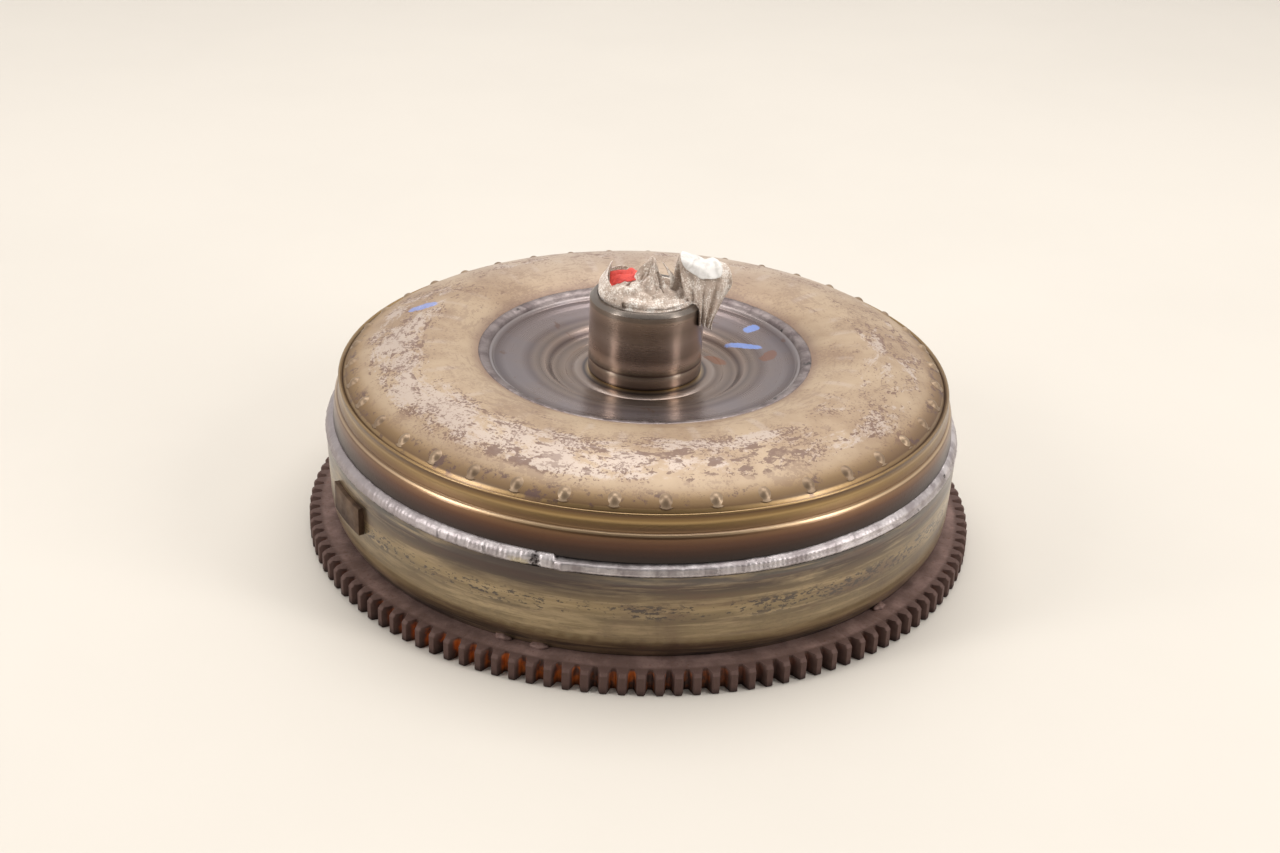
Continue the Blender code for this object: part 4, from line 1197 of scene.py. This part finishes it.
def makeRag():
    size = ragSize
    around, along = size["around"], size["along"]
    work = bmesh.new()
    layer = work.loops.layers.uv.new("flat")
    rows = []
    reach = []
    for i in range(around):
        angle = 2 * math.pi * i / around
        path = ragPath(angle)
        lengths = [0.0]
        for a, b in zip(path, path[1:]):
            lengths.append(lengths[-1] + math.dist(a, b))
        row = []
        for j in range(1, along + 1):
            want = lengths[-1] * j / along
            k = next(n for n in range(1, len(lengths)) if lengths[n] >= want - 1e-9)
            t = (want - lengths[k - 1]) / max(1e-9, lengths[k] - lengths[k - 1])
            r = path[k - 1][0] + (path[k][0] - path[k - 1][0]) * t
            z = path[k - 1][1] + (path[k][1] - path[k - 1][1]) * t
            share = j / along
            # creases that wind out from the peak, sharp on top and round below
            wind = angle * 4 - 2.6 * math.exp(-r / 8.0) * 3 + 0.9 * noise.noise(
                Vector((math.cos(angle) * 1.5, math.sin(angle) * 1.5, 2.0)))
            crease = 1 - 2 * abs(math.sin(wind / 2)) ** 0.8
            small = math.sin(angle * 11 + share * 9)
            shown = min(1.0, max(0.0, (z - 104.5) / 3)) * min(1.0, r / 3.5) * (1 - 0.7 * bell(r, 19, 4))
            z += shown * (1.3 * crease + 0.4 * small)
            r += shown * (0.8 * crease + 0.45 * small)
            # long grooves that sweep from the left of the peak round the front, as in twisted cloth
            sweep = ((math.degrees(angle) - 175) % 360) / 175
            if sweep < 1.25:
                for start, reachOut, deep in size["grooves"]:
                    ends = min(1.0, (1.25 - sweep) * 3) * min(1.0, sweep * 5)
                    groove = bell(r, start + reachOut * sweep, 1.15) * ends
                    z -= deep * groove * min(1.0, max(0.0, (z - 104.8) / 2))
            if z < 101 and share > 0.6:
                r += 1.1 * math.sin(angle * 13) * min(1.0, (101 - z) / 6)
                r = min(r, 19.8)
            twist = angle + 0.9 * math.exp(-r / 7.0)
            lean = 1.7 * math.exp(-r / 6.0)
            spot = Vector((r * math.cos(twist) + lean, r * math.sin(twist), min(z, 121.2)))
            row.append(work.verts.new(clearHub(spot) * mm))
        rows.append(row)
        reach.append(lengths[-1] * mm)
    top = work.verts.new((0.0017, 0.0, 0.1212))
    for i in range(around):
        j = (i + 1) % around
        faces = [(work.faces.new((top, rows[i][0], rows[j][0])), ((0, 0), (i, 1), (i + 1, 1)))]
        for k in range(along - 1):
            face = work.faces.new((rows[i][k], rows[i][k + 1], rows[j][k + 1], rows[j][k]))
            faces.append((face, ((i, k + 1), (i, k + 2), (i + 1, k + 2), (i + 1, k + 1))))
        for face, corners in faces:
            for loop, (turn, far) in zip(face.loops, corners):
                a = 2 * math.pi * turn / around
                r = reach[i] * far / along
                loop[layer].uv = (r * math.cos(a) * size["weave"], r * math.sin(a) * size["weave"])
    bmesh.ops.recalc_face_normals(work, faces=work.faces)
    return linkMesh("ragPlug", meshFrom(work, "ragCloth"), ragCloth)


def petalAt(u, v):
    # the flap at the left: rises from the bore, stands off the rim and curls in at its tip
    turn = math.radians(118 + 122 * u)
    peak = 0.3 + 0.6 * turnBell(turn, 176, 26)
    height = 97.0 + (9.0 + 12.5 * peak) * v
    r = 19.2 + 1.6 * bell(height, 106.5, 4.0) - 5.5 * max(0.0, v - 0.62) ** 1.3 * 2.4 * peak
    r += 0.7 * math.sin(turn * 7 + v * 3) * v
    return Vector((r * math.cos(turn), r * math.sin(turn), height + 0.6 * math.sin(turn * 9) * v))


# depth, height, middle and width of the piece at the right, in mm, from the bore outwards
lobePath = (
    (3.0, 97.0, 15.0, 5.0), (2.6, 104.0, 16.0, 8.0), (4.0, 112.0, 19.5, 17.0), (5.0, 118.0, 22.0, 19.0),
    (1.0, 119.8, 22.8, 20.0), (-4.0, 118.0, 23.6, 22.0), (-7.2, 113.8, 24.4, 21.0), (-9.4, 108.6, 23.6, 16.5),
    (-11.0, 103.5, 23.4, 12.0), (-11.6, 99.6, 23.4, 9.0), (-11.2, 96.4, 23.2, 8.0),
)


def lobeAt(u, v):
    # the piece at the right: up out of the bore, over the top and down outside the hub in flutes
    t = v * (len(lobePath) - 1)
    k = min(int(t), len(lobePath) - 2)
    t -= k
    rows = [Vector(lobePath[min(len(lobePath) - 1, max(0, k + n))]) for n in (-1, 0, 1, 2)]
    depth, height, middle, width = smoothStep(*rows, t)
    side = u - 0.5
    x = middle + side * width
    front = min(1.0, max(0.0, (v - 0.48) / 0.25))
    flute = math.sin(side * 27 + 1.2 * math.sin(v * 6)) * (0.25 + 1.2 * front * max(0.0, v - 0.5) * 2)
    bow = side * side * (5.0 + 13.0 * front)
    dip = 2.2 * side * (1 - 0.2 * front) * bell(v, 0.45, 0.22) + 3.4 * max(0.0, side - 0.2) * front
    ragged = 1.3 * noise.noise(Vector((side * 9, 4.0, 1.0))) * max(0.0, v - 0.7) * 3.3
    fine = 0.7 * noise.noise(Vector((side * 7, v * 9, 3.0)))
    droop = dip * 2.0 + 4.2 * abs(side) * front * v
    return Vector((x + 0.25 * flute, depth + bow - flute + fine, height - droop + ragged + 0.5 * fine))


def wispAt(u, v):
    # a thin twisted corner that stands between the two
    turn = 0.3 + 1.5 * v
    wide = 5.0 * (1 - 0.7 * v) * (u - 0.5)
    x = 11.0 - 4.2 * v + wide * math.cos(turn) + 1.2 * math.sin(v * 4)
    return Vector((x, -2.5 + wide * math.sin(turn), 107.0 + 12.6 * v))


def redAt(u, v):
    # crumpled red scrap inside the left flap
    crease = 1.1 * noise.noise(Vector((u * 5, v * 5, 7.0))) + 0.5 * noise.noise(Vector((u * 13, v * 13, 2.0)))
    height = 108.0 + 3.4 * u + 4.6 * v * (1 - 0.5 * u) + 0.8 * crease
    return Vector((-16.0 + 12.5 * u, -2.0 + 5.5 * v + crease, height))


def whiteAt(u, v):
    # smooth white scrap with a round outline, laid over the top of the right piece
    x, y = 2 * u - 1, 2 * v - 1
    x, y = x * math.sqrt(1 - y * y / 2.4), y * math.sqrt(1 - x * x / 2.4)
    crease = 0.8 * noise.noise(Vector((x * 2.4, y * 2.4, 9.0)))
    return lobeAt(0.44 + 0.42 * x, 0.43 + 0.17 * y) + Vector((0.0, -0.6 * v, 0.95 + crease))


def crumple(piece):
    # a short cloth run in which the cloth grows a little and so buckles into small folds
    hub = turnedMesh("hubGuard", [(23.9, 104.2), (23.9, 80.0), (20.7, 80.0), (20.7, 104.2)], 64)
    guard = linkMesh("hubGuard", hub)
    guard.modifiers.new("solid", "COLLISION")
    guard.collision.thickness_outer = 0.0004
    held = piece.vertex_groups.new(name="held")
    for vert in piece.data.vertices:
        flat = math.hypot(vert.co.x, vert.co.y)
        fixed = vert.co.z < 0.1046 or flat < 0.003
        held.add([vert.index], 1.0 if fixed else 0.0, "REPLACE")
    cloth = piece.modifiers.new("cloth", "CLOTH")
    settings = cloth.settings
    settings.quality = 6
    settings.mass = 0.15
    settings.tension_stiffness = 10
    settings.compression_stiffness = 10
    settings.shear_stiffness = 5
    settings.bending_stiffness = 0.03
    settings.air_damping = 4.0
    settings.shrink_min = -ragSize["growth"]
    settings.vertex_group_mass = "held"
    settings.effector_weights.gravity = 0.2
    cloth.collision_settings.distance_min = 0.0004
    cloth.point_cache.frame_start = 1
    cloth.point_cache.frame_end = ragSize["steps"]
    for step in range(1, ragSize["steps"] + 1):
        scene.frame_set(step)
    mesh = bakedMesh(piece)
    piece.modifiers.clear()
    piece.data = mesh
    scene.frame_set(1)
    bpy.data.objects.remove(guard, do_unlink=True)


def thicken(piece, thick):
    wall = piece.modifiers.new("thickness", "SOLIDIFY")
    wall.thickness = thick * mm
    wall.offset = 0.0
    smooth = piece.modifiers.new("smooth", "SUBSURF")
    smooth.levels = smooth.render_levels = 1
    mesh = bakedMesh(piece)
    piece.modifiers.clear()
    piece.vertex_groups.clear()
    piece.data = mesh
    mesh.shade_smooth()


ragPiece = makeRag()
crumple(ragPiece)
thicken(ragPiece, ragSize["thick"])
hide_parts("rag_plug")
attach(ragPiece, "rag")

# name, finish, shape, columns and rows, flat cut in metres, share of that rectangle, how held, on what
ragParts = (
    ("ragPetal", ragCloth, petalAt, (60, 26), (0.038, 0.02), 1.0, "gathered", "pump_hub"),
    ("ragLobe", ragCloth, lobeAt, (72, 90), (0.026, 0.05), 1.0, "draped", "pump_hub"),
    ("ragWisp", ragCloth, wispAt, (8, 24), (0.01, 0.0125), 0.4, "gathered", "ragPlug"),
    ("redScrap", redScrapCloth, redAt, (26, 18), (0.014, 0.01), 0.7, "laid", "ragPlug"),
    ("whiteScrap", whiteScrapCloth, whiteAt, (26, 20), (0.018, 0.014), 1.0, "laid", "ragLobe"),
)
for name, finish, placeAt, (columns, rows), flat, share, held, under in ragParts:
    part = sheetGrid(name, columns, rows, placeAt, flat, finish)
    thicken(part, ragSize["partThick"])
    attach(part, "rag")
print("rag made")


stageLook = {
    "floor": (0.62, 0.58, 0.525), "floorHalf": 12.0, "sideLight": 14.5, "topLight": 24.3, "front": 0.09,
    "back": 0.85, "lens": 53.34, "camera": (0.0, -0.7372, 0.4122), "pitch": 26.69, "roll": 2.294,
    "yaw": 0.0655,
}


def makeStage():
    mesh = bpy.data.meshes.new("floor")
    far = stageLook["floorHalf"]
    mesh.from_pydata([(-far, -far, 0), (far, -far, 0), (far, far, 0), (-far, far, 0)], [], [(0, 1, 2, 3)])
    finish = Finish("floorPaint", Roughness=0.6, Specular_IOR_Level=0.3)
    tree = finish.tree
    cloudy = finish.grain(3.0, 4.0)
    light = stageLook["floor"]
    color = mixOf(tree, spanOf(tree, cloudy, 0.35, 0.7), light, tuple(c * 0.97 for c in light))
    finish.feed(Base_Color=color)
    floor = linkMesh("floor", mesh, finish.material)


def makeWorld():
    world = bpy.data.worlds.new("studio")
    scene.world = world
    world.use_nodes = True
    tree = world.node_tree
    way = tree.nodes.new("ShaderNodeTexCoord").outputs["Generated"]
    parts = addNode(tree, "ShaderNodeSeparateXYZ", {0: way}).outputs
    depth = sumOf(tree, "MULTIPLY_ADD", parts[2], 0.55, parts[1])
    sideways = sumOf(tree, "POWER", sumOf(tree, "ABSOLUTE", parts[0]), 3.0)
    depth = sumOf(tree, "MULTIPLY_ADD", sideways, 0.5, depth)
    strength = spanOf(tree, depth, -0.55, 0.75, stageLook["front"], stageLook["back"])
    ground = tree.nodes["Background"]
    ground.inputs[0].default_value = (1.0, 0.97, 0.94, 1)
    tree.links.new(strength, ground.inputs[1])


def addLight(name, place, target, size, power):
    lamp = bpy.data.lights.new(name, "AREA")
    lamp.shape = "RECTANGLE"
    lamp.size, lamp.size_y = size
    lamp.energy = power
    lamp.color = (1.0, 0.98, 0.95)
    holder = bpy.data.objects.new(name, lamp)
    holder.location = place
    holder.rotation_euler = (Vector(target) - Vector(place)).to_track_quat("-Z", "Y").to_euler()
    scene.collection.objects.link(holder)


def makeCamera():
    look = stageLook
    data = bpy.data.cameras.new("camera")
    data.lens = look["lens"]
    data.sensor_width = 36.0
    data.clip_start = 0.01
    holder = bpy.data.objects.new("camera", data)
    turn = Matrix.Rotation(math.radians(look["yaw"]), 4, "Z")
    tilt = Matrix.Rotation(math.radians(90 - look["pitch"]), 4, "X")
    roll = Matrix.Rotation(math.radians(look["roll"]), 4, "Z")
    holder.matrix_world = Matrix.Translation(look["camera"]) @ turn @ tilt @ roll
    scene.collection.objects.link(holder)
    scene.camera = holder


makeStage()
makeWorld()
addLight("leftBox", (-1.45, -0.62, 0.8), (0, 0, 0.05), (0.3, 1.3), stageLook["sideLight"])
addLight("rightBox", (1.45, -0.62, 0.8), (0, 0, 0.05), (0.3, 1.3), stageLook["sideLight"])
addLight("topBox", (0.1, 0.5, 1.7), (0, 0, 0), (1.6, 1.2), stageLook["topLight"])
makeCamera()
scene.view_settings.view_transform = "Standard"
print("stage set")
